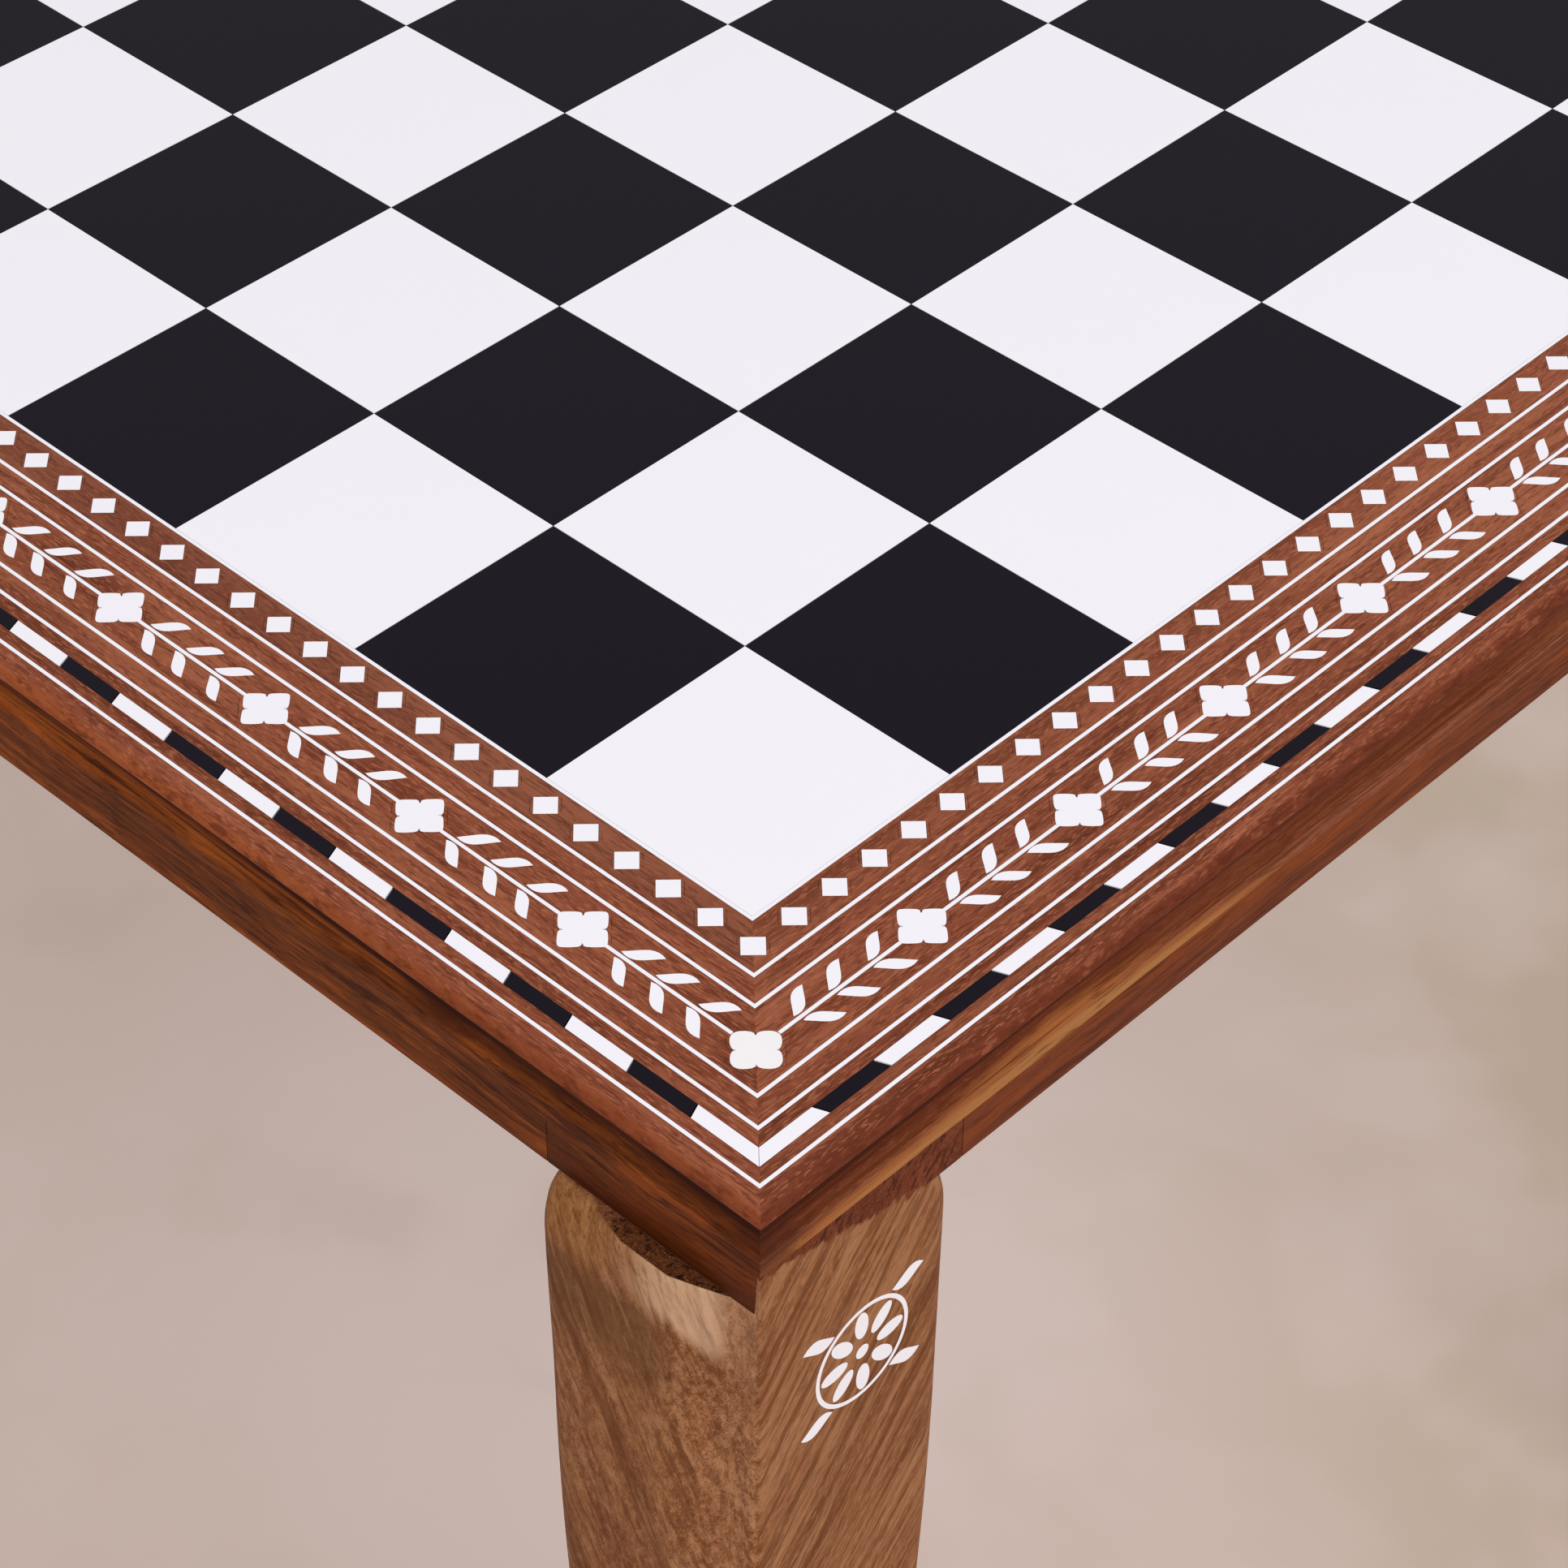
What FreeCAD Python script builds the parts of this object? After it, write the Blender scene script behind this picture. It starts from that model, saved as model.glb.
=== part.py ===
"""Square chess table: mitred border with inlaid ornament round a tiled board, on four curved legs.

Frame: +Z up, origin on the floor under the middle of the board, millimetres.
The front side faces -Y.  Everything on one side is drawn once, for the front or for the
front left corner, and the other sides and corners are mirror images or turned copies.
"""
import FreeCAD, Part
import math
import os
import re
import Sketcher

doc = FreeCAD.newDocument("ChessTable")
sheet = doc.addObject("Spreadsheet::Sheet", "Sizes")

# ---------------------------------------------------------------- driving dimensions
SIZES = (
    ("table_height", 610.0, "floor to playing surface"),
    ("squares", 8, "squares along one side of the board"),
    ("square_size", 55.0, "pitch of the squares"),
    ("square_joint", 0.15, "joint between neighbouring squares"),
    ("square_thickness", 3.0, "thickness of one square"),
    ("panel_thickness", 9.0, "plywood panel under the squares"),
    ("panel_lap", 8.0, "how far the panel runs under the border"),
    ("panel_gap", 0.1, "clearance of the panel in its rebate"),
    ("border_width", 52.5, "board edge to outer edge of the top"),
    ("top_thickness", 17.0, "thickness of the border rails"),
    ("edge_roll", 3.0, "radius of the rolled upper edge"),
    ("edge_ease", 0.8, "chamfer of the lower outer edge"),
    ("cove_radius", 5.0, "radius of the cove run along the edge"),
    ("cove_depth", 2.0, "how deep the cove bites into the edge"),
    ("cove_drop", 7.6, "middle of the cove below the playing surface"),
    ("inlay_depth", 1.5, "thickness of every strip and inlaid shape"),
    ("inlay_gap", 0.06, "glue line round every inlaid shape"),
    ("line_width", 0.8, "width of the white lines and of the vine's stem"),
    ("line_a", 10.9, "first line, from the board edge to its middle"),
    ("line_b", 16.5, "second line"),
    ("line_c", 32.3, "third line"),
    ("line_d", 37.8, "fourth line"),
    ("line_e", 47.5, "outermost line"),
    ("diamond_offset", 5.5, "row of diamonds, from the board edge to its middle"),
    ("diamond_size", 6.7, "point to point"),
    ("diamond_count", 41, "intervals between diamonds on one side"),
    ("vine_offset", 24.3, "stem of the vine, from the board edge"),
    ("flower_size", 12.0, "petal tip to petal tip"),
    ("notch_width", 1.0, "notch between two petals, at its mouth"),
    ("notch_depth", 1.0, "notch between two petals, in from the flower's side"),
    ("flower_count", 11, "intervals between flowers on one side"),
    ("dash_offset", 42.7, "row of dashes, from the board edge to its middle"),
    ("dash_width", 3.2, "width of a dash"),
    ("dash_count", 33, "dashes on one side, white at both ends"),
    ("dash_joint", 0.35, "joint between neighbouring dashes"),
    ("dash_slant", 22.0, "slant of the dash ends from square, in degrees"),
    ("spline_length", 26.0, "mitre spline along the mitre"),
    ("spline_width", 20.0, "mitre spline across the mitre"),
    ("spline_thickness", 3.0, "thickness of the mitre spline"),
    ("spline_drop", 10.0, "middle of the spline below the playing surface"),
    ("spline_setback", 12.0, "end of the spline in from the outer edges"),
    ("joint_gap", 0.1, "glue line in mortises, slots and at end faces"),
    ("apron_height", 13.0, "height of the apron rails"),
    ("apron_thickness", 18.0, "thickness of the apron rails"),
    ("apron_setback", 2.0, "apron and posts in from the outer edge of the top"),
    ("tenon_length", 15.0, "tenon at each end of an apron rail"),
    ("tenon_thickness", 8.0, "thickness of the tenon"),
    ("tenon_shoulder", 2.0, "shoulder above and below the tenon"),
    ("post_size", 54.0, "square post at the head of each leg"),
    ("knee_swell", 5.3, "how far the knee stands proud of the post"),
    ("knee_round", 18.0, "how far the swell takes to rise from the outer corner"),
    ("shoulder_swell", 4.0, "how far the leg stands proud of the post, at the apron"),
    ("shoulder_ease", 3.5, "inner faces of the leg in from the post, at the apron"),
    ("knee_drop", 13.0, "widest part of the knee below the apron"),
    ("thigh_drop", 60.0, "end of the straight part of the knee below the apron"),
    ("thigh_swell", 4.5, "how far the thigh stands proud of the post"),
    ("thigh_width", 53.5, "width of the leg at the thigh"),
    ("ankle_rise", 110.0, "ankle above the floor"),
    ("ankle_inset", 13.0, "outer faces in from the post, at the ankle"),
    ("ankle_width", 25.0, "width of the leg at the ankle"),
    ("foot_rise", 24.0, "widest part of the foot above the floor"),
    ("foot_inset", 3.0, "outer faces in from the post, at the foot"),
    ("foot_width", 38.0, "width of the foot"),
    ("sole_ease", 3.0, "sole in from the widest part of the foot"),
    ("leg_round", 4.5, "chamfer of the leg's long edges"),
    ("glide_thickness", 3.0, "felt glide under each foot"),
    ("glide_margin", 3.0, "edge of the glide in from the edge of the sole"),
    ("brace_thickness", 11.0, "thickness of the corner braces"),
    ("brace_width", 26.0, "width of a corner brace, from the post inwards"),
)
for row, (alias, number, meaning) in enumerate(SIZES, start=1):
    sheet.set("A%d" % row, meaning)
    sheet.set("B%d" % row, str(number))
    sheet.setAlias("B%d" % row, alias)
doc.recompute()

# Lengths that follow from the driving dimensions, written as expressions.
BOARD_HALF = "(squares * square_size / 2)"
TOP_HALF = "(%s + border_width)" % BOARD_HALF
TOP_BOTTOM = "(table_height - top_thickness)"
PANEL_TOP = "(table_height - square_thickness)"
FACE = "(%s - apron_setback)" % TOP_HALF
APRON_BOTTOM = "(%s - apron_height)" % TOP_BOTTOM
POST_INNER = "(%s - post_size)" % FACE
APRON_INNER = "(%s - apron_thickness)" % FACE
ABOVE = "1"


def link(text):
    """The expression with every name pointing at its cell of the sheet."""
    return re.sub(r"\b([a-z]\w+)\b(?!\()", r"Sizes.\1", text)


def value(text):
    """The number an expression stands for now."""
    return float(sheet.evalExpression(link(text)))


# ---------------------------------------------------------------- small building blocks
def bind(feature, sizes):
    """Tie each property of a feature to an expression of the sheet's values."""
    for prop, text in sizes.items():
        feature.setExpression(prop, link(text))


def box(name, low, high):
    """Box between two corners, each given as three expressions."""
    solid = doc.addObject("Part::Box", name)
    for size, axis, start, end in zip(("Length", "Width", "Height"), "xyz", low, high):
        bind(solid, {size: "%s - (%s)" % (end, start), "Placement.Base.%s" % axis: start})
    return solid


def combined(kind, name, base, tools):
    """Boolean of a base with one tool or several."""
    tool = tools[0]
    if len(tools) > 1:
        tool = doc.addObject("Part::Compound", name + "_tools")
        tool.Links = tools
    result = doc.addObject(kind, name)
    result.Base = base
    result.Tool = tool
    return result


def mirrored(name, source, normal):
    """Mirror image of a piece in a plane through the table's middle."""
    image = doc.addObject("Part::Mirroring", name)
    image.Source = source
    image.Normal = FreeCAD.Vector(*normal)
    return image


def outline(name, corners, height):
    """Closed sketch of straight edges at a height, each corner held by two expressions."""
    sketch = doc.addObject("Sketcher::SketchObject", name)
    bind(sketch, {"Placement.Base.z": height})
    spots = [FreeCAD.Vector(value(x), value(y), 0) for x, y in corners]
    for start, end in zip(spots, spots[1:] + spots[:1]):
        sketch.addGeometry(Part.LineSegment(start, end), False)
    for edge in range(len(spots)):
        following = (edge + 1) % len(spots)
        sketch.addConstraint(Sketcher.Constraint("Coincident", edge, 2, following, 1))
    for edge, corner in enumerate(corners):
        for kind, text in zip(("DistanceX", "DistanceY"), corner):
            rule = Sketcher.Constraint(kind, -1, 1, edge, 1, value(text))
            number = sketch.addConstraint(rule)
            sketch.setExpression("Constraints[%d]" % number, link(text))
    return sketch


def slab(name, corners, height, thickness):
    """Body padded up from a plan at a height."""
    body = doc.addObject("PartDesign::Body", name)
    plan = outline(name + "_plan", corners, height)
    body.addObject(plan)
    pad = body.newObject("PartDesign::Pad", name + "_pad")
    pad.Profile = plan
    bind(pad, {"Length": thickness})
    body.Tip = pad
    doc.recompute()
    return body


def edges_along(shape, lower, upper):
    """Names of the edges that lie wholly inside a box, for a fillet or chamfer."""
    room = FreeCAD.BoundBox(*lower, *upper)
    found = []
    for number, edge in enumerate(shape.Edges, start=1):
        if room.isInside(edge.BoundBox):
            found.append("Edge%d" % number)
    return found


def prism(points, low, high):
    """Upright solid over a polygon of (x, y) points."""
    corners = [FreeCAD.Vector(x, y, low) for x, y in points]
    face = Part.Face(Part.makePolygon(corners + corners[:1]))
    return face.extrude(FreeCAD.Vector(0, 0, high - low))


def group(name, solids):
    """Node that holds several separate solids."""
    feature = doc.addObject("Part::Feature", name)
    feature.Shape = Part.makeCompound(solids)
    return feature


def turned(solids):
    """The solids of the front side, and the same on the other three sides."""
    copies = []
    for quarter in range(4):
        for solid in solids:
            copy = solid.copy()
            copy.rotate(FreeCAD.Vector(), FreeCAD.Vector(0, 0, 1), 90 * quarter)
            copies.append(copy)
    return copies


# ---------------------------------------------------------------- inlay of one side
board_half = value(BOARD_HALF)
top_z = value("table_height")
inlay_floor = top_z - value("inlay_depth")
inlay_gap = value("inlay_gap")


def strip(offset, width, grow=0.0):
    """Straight strip along the front side, mitred to meet its neighbours in the corners."""
    inner = board_half + offset - width / 2 - grow
    outer = board_half + offset + width / 2 + grow
    return [(-inner, -inner), (inner, -inner), (outer, -outer), (-outer, -outer)]


def row_places(offset, intervals):
    """Evenly spaced places from corner to corner of a row at this offset."""
    reach = board_half + offset
    return [reach * (2 * step / intervals - 1) for step in range(intervals + 1)]


def lozenge(x, offset, size, grow=0.0):
    """Square standing on its corner, in a row at this offset."""
    y = -board_half - offset
    reach = size / 2 + grow * math.sqrt(2)
    return [(x - reach, y), (x, y - reach), (x + reach, y), (x, y + reach)]


def diamond(x, grow=0.0):
    """One diamond of the inner row."""
    return lozenge(x, value("diamond_offset"), value("diamond_size"), grow)


def flower_seat(x, grow=0.0):
    """Lozenge that a flower is cut from, and the shape of its pocket."""
    return lozenge(x, value("vine_offset"), value("flower_size"), grow)


def flower(x):
    """Four petals with their tips along X and Y: a lozenge with a notch in each side."""
    y = -board_half - value("vine_offset")
    tip = value("flower_size") / 2
    middle = tip / 2
    mouth = value("notch_width") / math.sqrt(8)
    depth = value("notch_depth") / math.sqrt(2)
    quarter = [
        (tip, 0),
        (middle + mouth, middle - mouth),
        (middle - depth, middle - depth),
        (middle - mouth, middle + mouth),
    ]
    points = []
    for turn in range(4):
        for px, py in quarter:
            for _ in range(turn):
                px, py = -py, px
            points.append((x + px, y + py))
    return points


def stem(start, end):
    """Piece of the vine's stem between two neighbouring flowers."""
    clear = value("flower_size") / 2 + inlay_gap
    y = -board_half - value("vine_offset")
    half = value("line_width") / 2
    low = start + clear
    high = end - clear
    return [(low, y - half), (high, y - half), (high, y + half), (low, y + half)]


def dash(number):
    """One dash of the row; its ends slant, and the row's two ends are mitred."""
    reach = board_half + value("dash_offset")
    half = value("dash_width") / 2
    pitch = 2 * reach / value("dash_count")
    low = -reach + number * pitch + value("dash_joint") / 2
    high = -reach + (number + 1) * pitch - value("dash_joint") / 2
    lean = half * math.tan(math.radians(value("dash_slant")))
    inner_low, outer_low = low - lean, low + lean
    inner_high, outer_high = high - lean, high + lean
    if number == 0:
        inner_low, outer_low = -reach + half + inlay_gap, -reach - half + inlay_gap
    if number == value("dash_count") - 1:
        inner_high, outer_high = reach - half - inlay_gap, reach + half - inlay_gap
    inner_y = half - reach
    outer_y = -half - reach
    return [(outer_low, outer_y), (outer_high, outer_y), (inner_high, inner_y), (inner_low, inner_y)]


diamond_places = row_places(value("diamond_offset"), int(value("diamond_count")))
flower_places = row_places(value("vine_offset"), int(value("flower_count")))
line_offsets = [value(name) for name in ("line_a", "line_b", "line_c", "line_d", "line_e")]
line_width = value("line_width")


def inlaid(points):
    """Inlaid shape: its outline carried from the floor of its pocket to the surface."""
    return prism(points, inlay_floor, top_z)


def pocket(points):
    """Tool for a pocket: the outline carried from the pocket's floor to above the surface."""
    return prism(points, inlay_floor, top_z + value(ABOVE))


# ---------------------------------------------------------------- border rails
def rail_blank():
    """Front rail before inlaying: mitred blank with a rolled upper edge."""
    corners = (
        ("-" + BOARD_HALF, "-" + BOARD_HALF),
        ("-" + TOP_HALF, "-" + TOP_HALF),
        (TOP_HALF, "-" + TOP_HALF),
        (BOARD_HALF, "-" + BOARD_HALF),
    )
    body = slab("rail_blank", corners, TOP_BOTTOM, "top_thickness")
    reach = value(TOP_HALF) + 1
    edges = (
        ("PartDesign::Fillet", "Radius", "edge_roll", top_z),
        ("PartDesign::Chamfer", "Size", "edge_ease", value(TOP_BOTTOM)),
    )
    for kind, prop, size, level in edges:
        base = body.Tip
        lower = (-reach, -reach, level - 0.1)
        upper = (reach, 2 - reach, level + 0.1)
        names = edges_along(base.Shape, lower, upper)
        feature = body.newObject(kind, size)
        feature.Base = (base, names)
        bind(feature, {prop: size})
        body.Tip = feature
        doc.recompute()
    return body


def spline(grow=0.0):
    """Flat loose tongue across the front left mitre."""
    along = value("spline_length") + 2 * grow
    across = value("spline_width") + 2 * grow
    thick = value("spline_thickness") + 2 * grow
    plate = Part.makeBox(along, across, thick, FreeCAD.Vector(-along, -across, -thick) / 2)
    plate.rotate(FreeCAD.Vector(), FreeCAD.Vector(0, 0, 1), 45)
    middle = value(TOP_HALF) - value("spline_setback") - value("spline_length") / math.sqrt(8)
    plate.translate(FreeCAD.Vector(-middle, -middle, top_z - value("spline_drop")))
    return plate


def rail_cutters():
    """Everything that is cut into the front rail."""
    lap_reach = "(%s + panel_lap + panel_gap)" % BOARD_HALF
    rebate = box(
        "rebate",
        ("-" + lap_reach, "-" + lap_reach, TOP_BOTTOM + " - " + ABOVE),
        (lap_reach, "-%s + %s" % (BOARD_HALF, ABOVE), PANEL_TOP),
    )
    cove = doc.addObject("Part::Cylinder", "cove")
    cove.Placement.Rotation = FreeCAD.Rotation(FreeCAD.Vector(0, 1, 0), 90)
    bind(cove, {
        "Radius": "cove_radius",
        "Height": "2 * %s + 2 * %s" % (TOP_HALF, ABOVE),
        "Placement.Base.x": "-%s - %s" % (TOP_HALF, ABOVE),
        "Placement.Base.y": "-%s - cove_radius + cove_depth" % TOP_HALF,
        "Placement.Base.z": "table_height - cove_drop",
    })
    strips = [strip(line_width / 2, line_width, inlay_gap)]
    strips += [strip(offset, line_width, inlay_gap) for offset in line_offsets]
    strips.append(strip(value("vine_offset"), line_width, inlay_gap))
    strips.append(strip(value("dash_offset"), value("dash_width"), inlay_gap))
    diamonds = [diamond(x, inlay_gap) for x in diamond_places]
    flowers = [flower_seat(x, inlay_gap) for x in flower_places]
    return [
        rebate,
        cove,
        group("line_grooves", [pocket(points) for points in strips]),
        group("diamond_pockets", [pocket(points) for points in diamonds]),
        group("flower_pockets", [pocket(points) for points in flowers]),
        group("spline_slots", turned([spline(value("joint_gap"))])[:2]),
    ]


def all_sides(front):
    """Front piece and its mirror images on the left, back and right."""
    stem_name = front.Label.replace("_front", "")
    left = mirrored(stem_name + "_left", front, (1, -1, 0))
    back = mirrored(stem_name + "_back", front, (0, 1, 0))
    right = mirrored(stem_name + "_right", left, (1, 0, 0))
    return [front, left, back, right]


def all_corners(front_left):
    """Front left piece and its mirror images in the other three corners."""
    stem_name = front_left.Label.replace("_front_left", "")
    front_right = mirrored(stem_name + "_front_right", front_left, (1, 0, 0))
    back_left = mirrored(stem_name + "_back_left", front_left, (0, 1, 0))
    back_right = mirrored(stem_name + "_back_right", front_right, (0, 1, 0))
    return [front_left, front_right, back_left, back_right]


nodes = all_sides(combined("Part::Cut", "border_rail_front", rail_blank(), rail_cutters()))
nodes.append(group("mitre_splines", turned([spline()])))

# ---------------------------------------------------------------- panel and squares
panel_reach = "(%s + panel_lap)" % BOARD_HALF
nodes.append(box(
    "board_panel",
    ("-" + panel_reach, "-" + panel_reach, PANEL_TOP + " - panel_thickness"),
    (panel_reach, panel_reach, PANEL_TOP),
))


def squares(colour):
    """The squares of one colour: 0 for the corner square's own, 1 for the other."""
    pitch = value("square_size")
    size = pitch - value("square_joint")
    count = int(value("squares"))
    solids = []
    for column in range(count):
        for row in range(count):
            if (column + row) % 2 != colour:
                continue
            x = -board_half + column * pitch + value("square_joint") / 2
            y = -board_half + row * pitch + value("square_joint") / 2
            corner = FreeCAD.Vector(x, y, value(PANEL_TOP))
            solids.append(Part.makeBox(size, size, value("square_thickness"), corner))
    return solids


nodes.append(group("white_squares", squares(0)))
nodes.append(group("black_squares", squares(1)))

# ---------------------------------------------------------------- inlay
nodes.append(group("board_edge_line", turned([inlaid(strip(line_width / 2, line_width))])))
for number, offset in enumerate(line_offsets, start=1):
    nodes.append(group("inlay_line_%d" % number, turned([inlaid(strip(offset, line_width))])))
nodes.append(group("inlay_diamonds", turned([inlaid(diamond(x)) for x in diamond_places[:-1]])))
nodes.append(group("vine_flowers", turned([inlaid(flower(x)) for x in flower_places[:-1]])))
stems = [inlaid(stem(*ends)) for ends in zip(flower_places, flower_places[1:])]
nodes.append(group("vine_stems", turned(stems)))


def dashes(first):
    """Every second dash of all four rows."""
    return turned([inlaid(dash(number)) for number in range(first, int(value("dash_count")), 2)])


nodes.append(group("white_dashes", dashes(0)))
nodes.append(group("black_dashes", dashes(1)))

# ---------------------------------------------------------------- apron rails
TENON_MIDDLE = "(%s - apron_thickness / 2)" % FACE
TENON_LOW = "(%s + tenon_shoulder)" % APRON_BOTTOM
TENON_HIGH = "(%s - tenon_shoulder)" % TOP_BOTTOM


def apron():
    """Front apron rail with a tenon at each end."""
    reach = "(%s - joint_gap)" % POST_INNER
    rail = box("apron_rail", ("-" + reach, "-" + FACE, APRON_BOTTOM), (reach, "-" + APRON_INNER, TOP_BOTTOM))
    tip = "(%s + tenon_length)" % POST_INNER
    near = "(-%s - tenon_thickness / 2)" % TENON_MIDDLE
    far = "(-%s + tenon_thickness / 2)" % TENON_MIDDLE
    tenons = box("apron_tenons", ("-" + tip, near, TENON_LOW), (tip, far, TENON_HIGH))
    return combined("Part::Fuse", "apron_front", rail, [tenons])


nodes += all_sides(apron())


# ---------------------------------------------------------------- legs
def mortise():
    """Mortise for the front apron's left tenon."""
    bottom = "(-%s - tenon_length - joint_gap)" % POST_INNER
    near = "(-%s - tenon_thickness / 2 - joint_gap)" % TENON_MIDDLE
    far = "(-%s + tenon_thickness / 2 + joint_gap)" % TENON_MIDDLE
    mouth = "(-%s + %s)" % (POST_INNER, ABOVE)
    low = TENON_LOW + " - joint_gap"
    high = TENON_HIGH + " + joint_gap"
    return box("mortise", (bottom, near, low), (mouth, far, high))


def leg_plan(out_x, in_x, out_y, in_y, round_x, round_y, ease):
    """Eight corners of a leg's section, from distances inward of the post's outer faces."""
    left, right = "-%s + (%s)" % (FACE, out_x), "-%s + (%s)" % (FACE, in_x)
    front, back = "-%s + (%s)" % (FACE, out_y), "-%s + (%s)" % (FACE, in_y)
    return (
        ("%s + %s" % (left, round_x), front),
        ("%s - %s" % (right, ease), front),
        (right, "%s + %s" % (front, ease)),
        (right, "%s - %s" % (back, ease)),
        ("%s - %s" % (right, ease), back),
        ("%s + %s" % (left, ease), back),
        (left, "%s - %s" % (back, ease)),
        (left, "%s + %s" % (front, round_y)),
    )


def even_knot(height, inset, width):
    """Section that sits evenly in from both outer faces of the post."""
    far = "%s + %s" % (inset, width)
    return (height, inset, far, inset, far, "leg_round", "leg_round", "leg_round")


def blended(start, end, share):
    """Section between two others: its height goes evenly, the rest eases in and out."""
    eased = share * share * (3 - 2 * share)
    mixes = []
    for index, (first, last) in enumerate(zip(start, end)):
        weight = share if index == 0 else eased
        mixes.append("((%s) * %.4f + (%s) * %.4f)" % (first, 1 - weight, last, weight))
    return tuple(mixes)


def leg_sections():
    """Sections of the leg from the apron down to the sole: a height, then the plan's sizes."""
    eased = "post_size - shoulder_ease"
    knee_rounds = ("knee_swell", "knee_round", "leg_round")
    shoulder_rounds = ("shoulder_swell", "knee_round", "leg_round")
    shoulder = (APRON_BOTTOM, "-shoulder_swell", eased, "0", eased) + shoulder_rounds
    knee = (APRON_BOTTOM + " - knee_drop", "-knee_swell", "post_size", "0", "post_size") + knee_rounds
    thigh = (APRON_BOTTOM + " - thigh_drop", "-thigh_swell", "thigh_width", "0", "thigh_width") + knee_rounds
    ankle = even_knot("ankle_rise", "ankle_inset", "ankle_width")
    foot = even_knot("foot_rise", "foot_inset", "foot_width")
    sole = even_knot("glide_thickness", "foot_inset + sole_ease", "foot_width - 2 * sole_ease")
    sections = [shoulder]
    for start, end, steps in ((knee, thigh, 2), (thigh, ankle, 6), (ankle, foot, 3)):
        sections += [blended(start, end, step / steps) for step in range(steps)]
    return sections + [foot, sole]


def leg_blank():
    """Front left leg in one piece with the post that the apron rails join."""
    sections = []
    for number, (height, *sizes) in enumerate(leg_sections(), start=1):
        sections.append(outline("leg_section_%d" % number, leg_plan(*sizes), height))
    shaft = doc.addObject("Part::Loft", "leg_shaft")
    shaft.Sections = sections
    shaft.Solid = True
    shaft.Ruled = True
    shaft.Linearize = True
    post = box(
        "leg_post",
        ("-" + FACE, "-" + FACE, APRON_BOTTOM),
        ("-" + POST_INNER, "-" + POST_INNER, TOP_BOTTOM),
    )
    return combined("Part::Fuse", "leg_blank", shaft, [post])


first_mortise = mortise()
second_mortise = mirrored("second_mortise", first_mortise, (1, -1, 0))
leg_cutters = [first_mortise, second_mortise]
nodes += all_corners(combined("Part::Cut", "leg_front_left", leg_blank(), leg_cutters))

glide_inset = "foot_inset + sole_ease + glide_margin"
glide_width = "foot_width - 2 * sole_ease - 2 * glide_margin"
glide_plan = leg_plan(*even_knot("0", glide_inset, glide_width)[1:])
nodes += all_corners(slab("foot_glide_front_left", glide_plan, "0", "glide_thickness"))

# ---------------------------------------------------------------- corner braces
BRACE_SIDE = "(-%s + joint_gap)" % APRON_INNER
BRACE_OUTER = "(-2 * %s + joint_gap * sqrt(2) - %s)" % (POST_INNER, BRACE_SIDE)
BRACE_INNER = "(%s + brace_width * sqrt(2))" % BRACE_OUTER
brace_plan = (
    (BRACE_OUTER, BRACE_SIDE),
    (BRACE_INNER, BRACE_SIDE),
    (BRACE_SIDE, BRACE_INNER),
    (BRACE_SIDE, BRACE_OUTER),
)
brace_bottom = TOP_BOTTOM + " - brace_thickness"
nodes += all_corners(slab("corner_brace_front_left", brace_plan, brace_bottom, "brace_thickness"))

# ---------------------------------------------------------------- checks and files
doc.recompute()
for feature in doc.Objects:
    if "Invalid" in feature.State or "Error" in feature.State:
        raise RuntimeError("%s failed: %s" % (feature.Label, feature.State))
for node in nodes:
    if node.Shape.isNull() or not node.Shape.isValid():
        raise RuntimeError("%s has no valid shape" % node.Label)

os.makedirs("parts", exist_ok=True)
for node in nodes:
    node.Shape.exportStep(os.path.join("parts", node.Label + ".step"))
print("%d nodes, %d solids" % (len(nodes), sum(len(node.Shape.Solids) for node in nodes)))
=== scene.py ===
"""Chess table with an inlaid border: legs, leaves, medallions and finishes round the packed model.

Metres, +Z up, front side towards -Y.  Sizes and colours are properties of the scene, one operator makes
or finishes each group of pieces, and a panel in the 3D view's sidebar lists them.
"""
import math

import bmesh
import bpy
import numpy as np
from bpy.props import FloatProperty, FloatVectorProperty, IntProperty, PointerProperty
from mathutils import Matrix, Vector


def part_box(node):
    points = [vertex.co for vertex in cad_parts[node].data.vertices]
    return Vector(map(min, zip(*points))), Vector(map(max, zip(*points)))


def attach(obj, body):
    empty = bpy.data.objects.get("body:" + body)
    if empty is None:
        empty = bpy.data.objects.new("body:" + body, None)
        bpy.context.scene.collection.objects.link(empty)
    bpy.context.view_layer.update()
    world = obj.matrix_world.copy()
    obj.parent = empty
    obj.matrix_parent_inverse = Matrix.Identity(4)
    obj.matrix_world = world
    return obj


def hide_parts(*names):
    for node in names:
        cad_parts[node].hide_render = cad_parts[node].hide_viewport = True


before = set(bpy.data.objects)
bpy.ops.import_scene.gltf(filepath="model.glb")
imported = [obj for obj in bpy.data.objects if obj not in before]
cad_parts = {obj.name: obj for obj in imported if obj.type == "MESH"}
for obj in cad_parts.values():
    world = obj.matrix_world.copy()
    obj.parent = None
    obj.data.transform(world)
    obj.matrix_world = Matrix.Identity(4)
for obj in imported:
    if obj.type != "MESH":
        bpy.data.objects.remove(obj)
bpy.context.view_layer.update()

bl_info = {
    "name": "Inlaid chess table",
    "version": (1, 0, 0),
    "blender": (4, 5, 0),
    "location": "3D View > Sidebar > Chess table",
    "description": "Carves, inlays and finishes a chess table round its packed model",
    "category": "Object",
}

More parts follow.
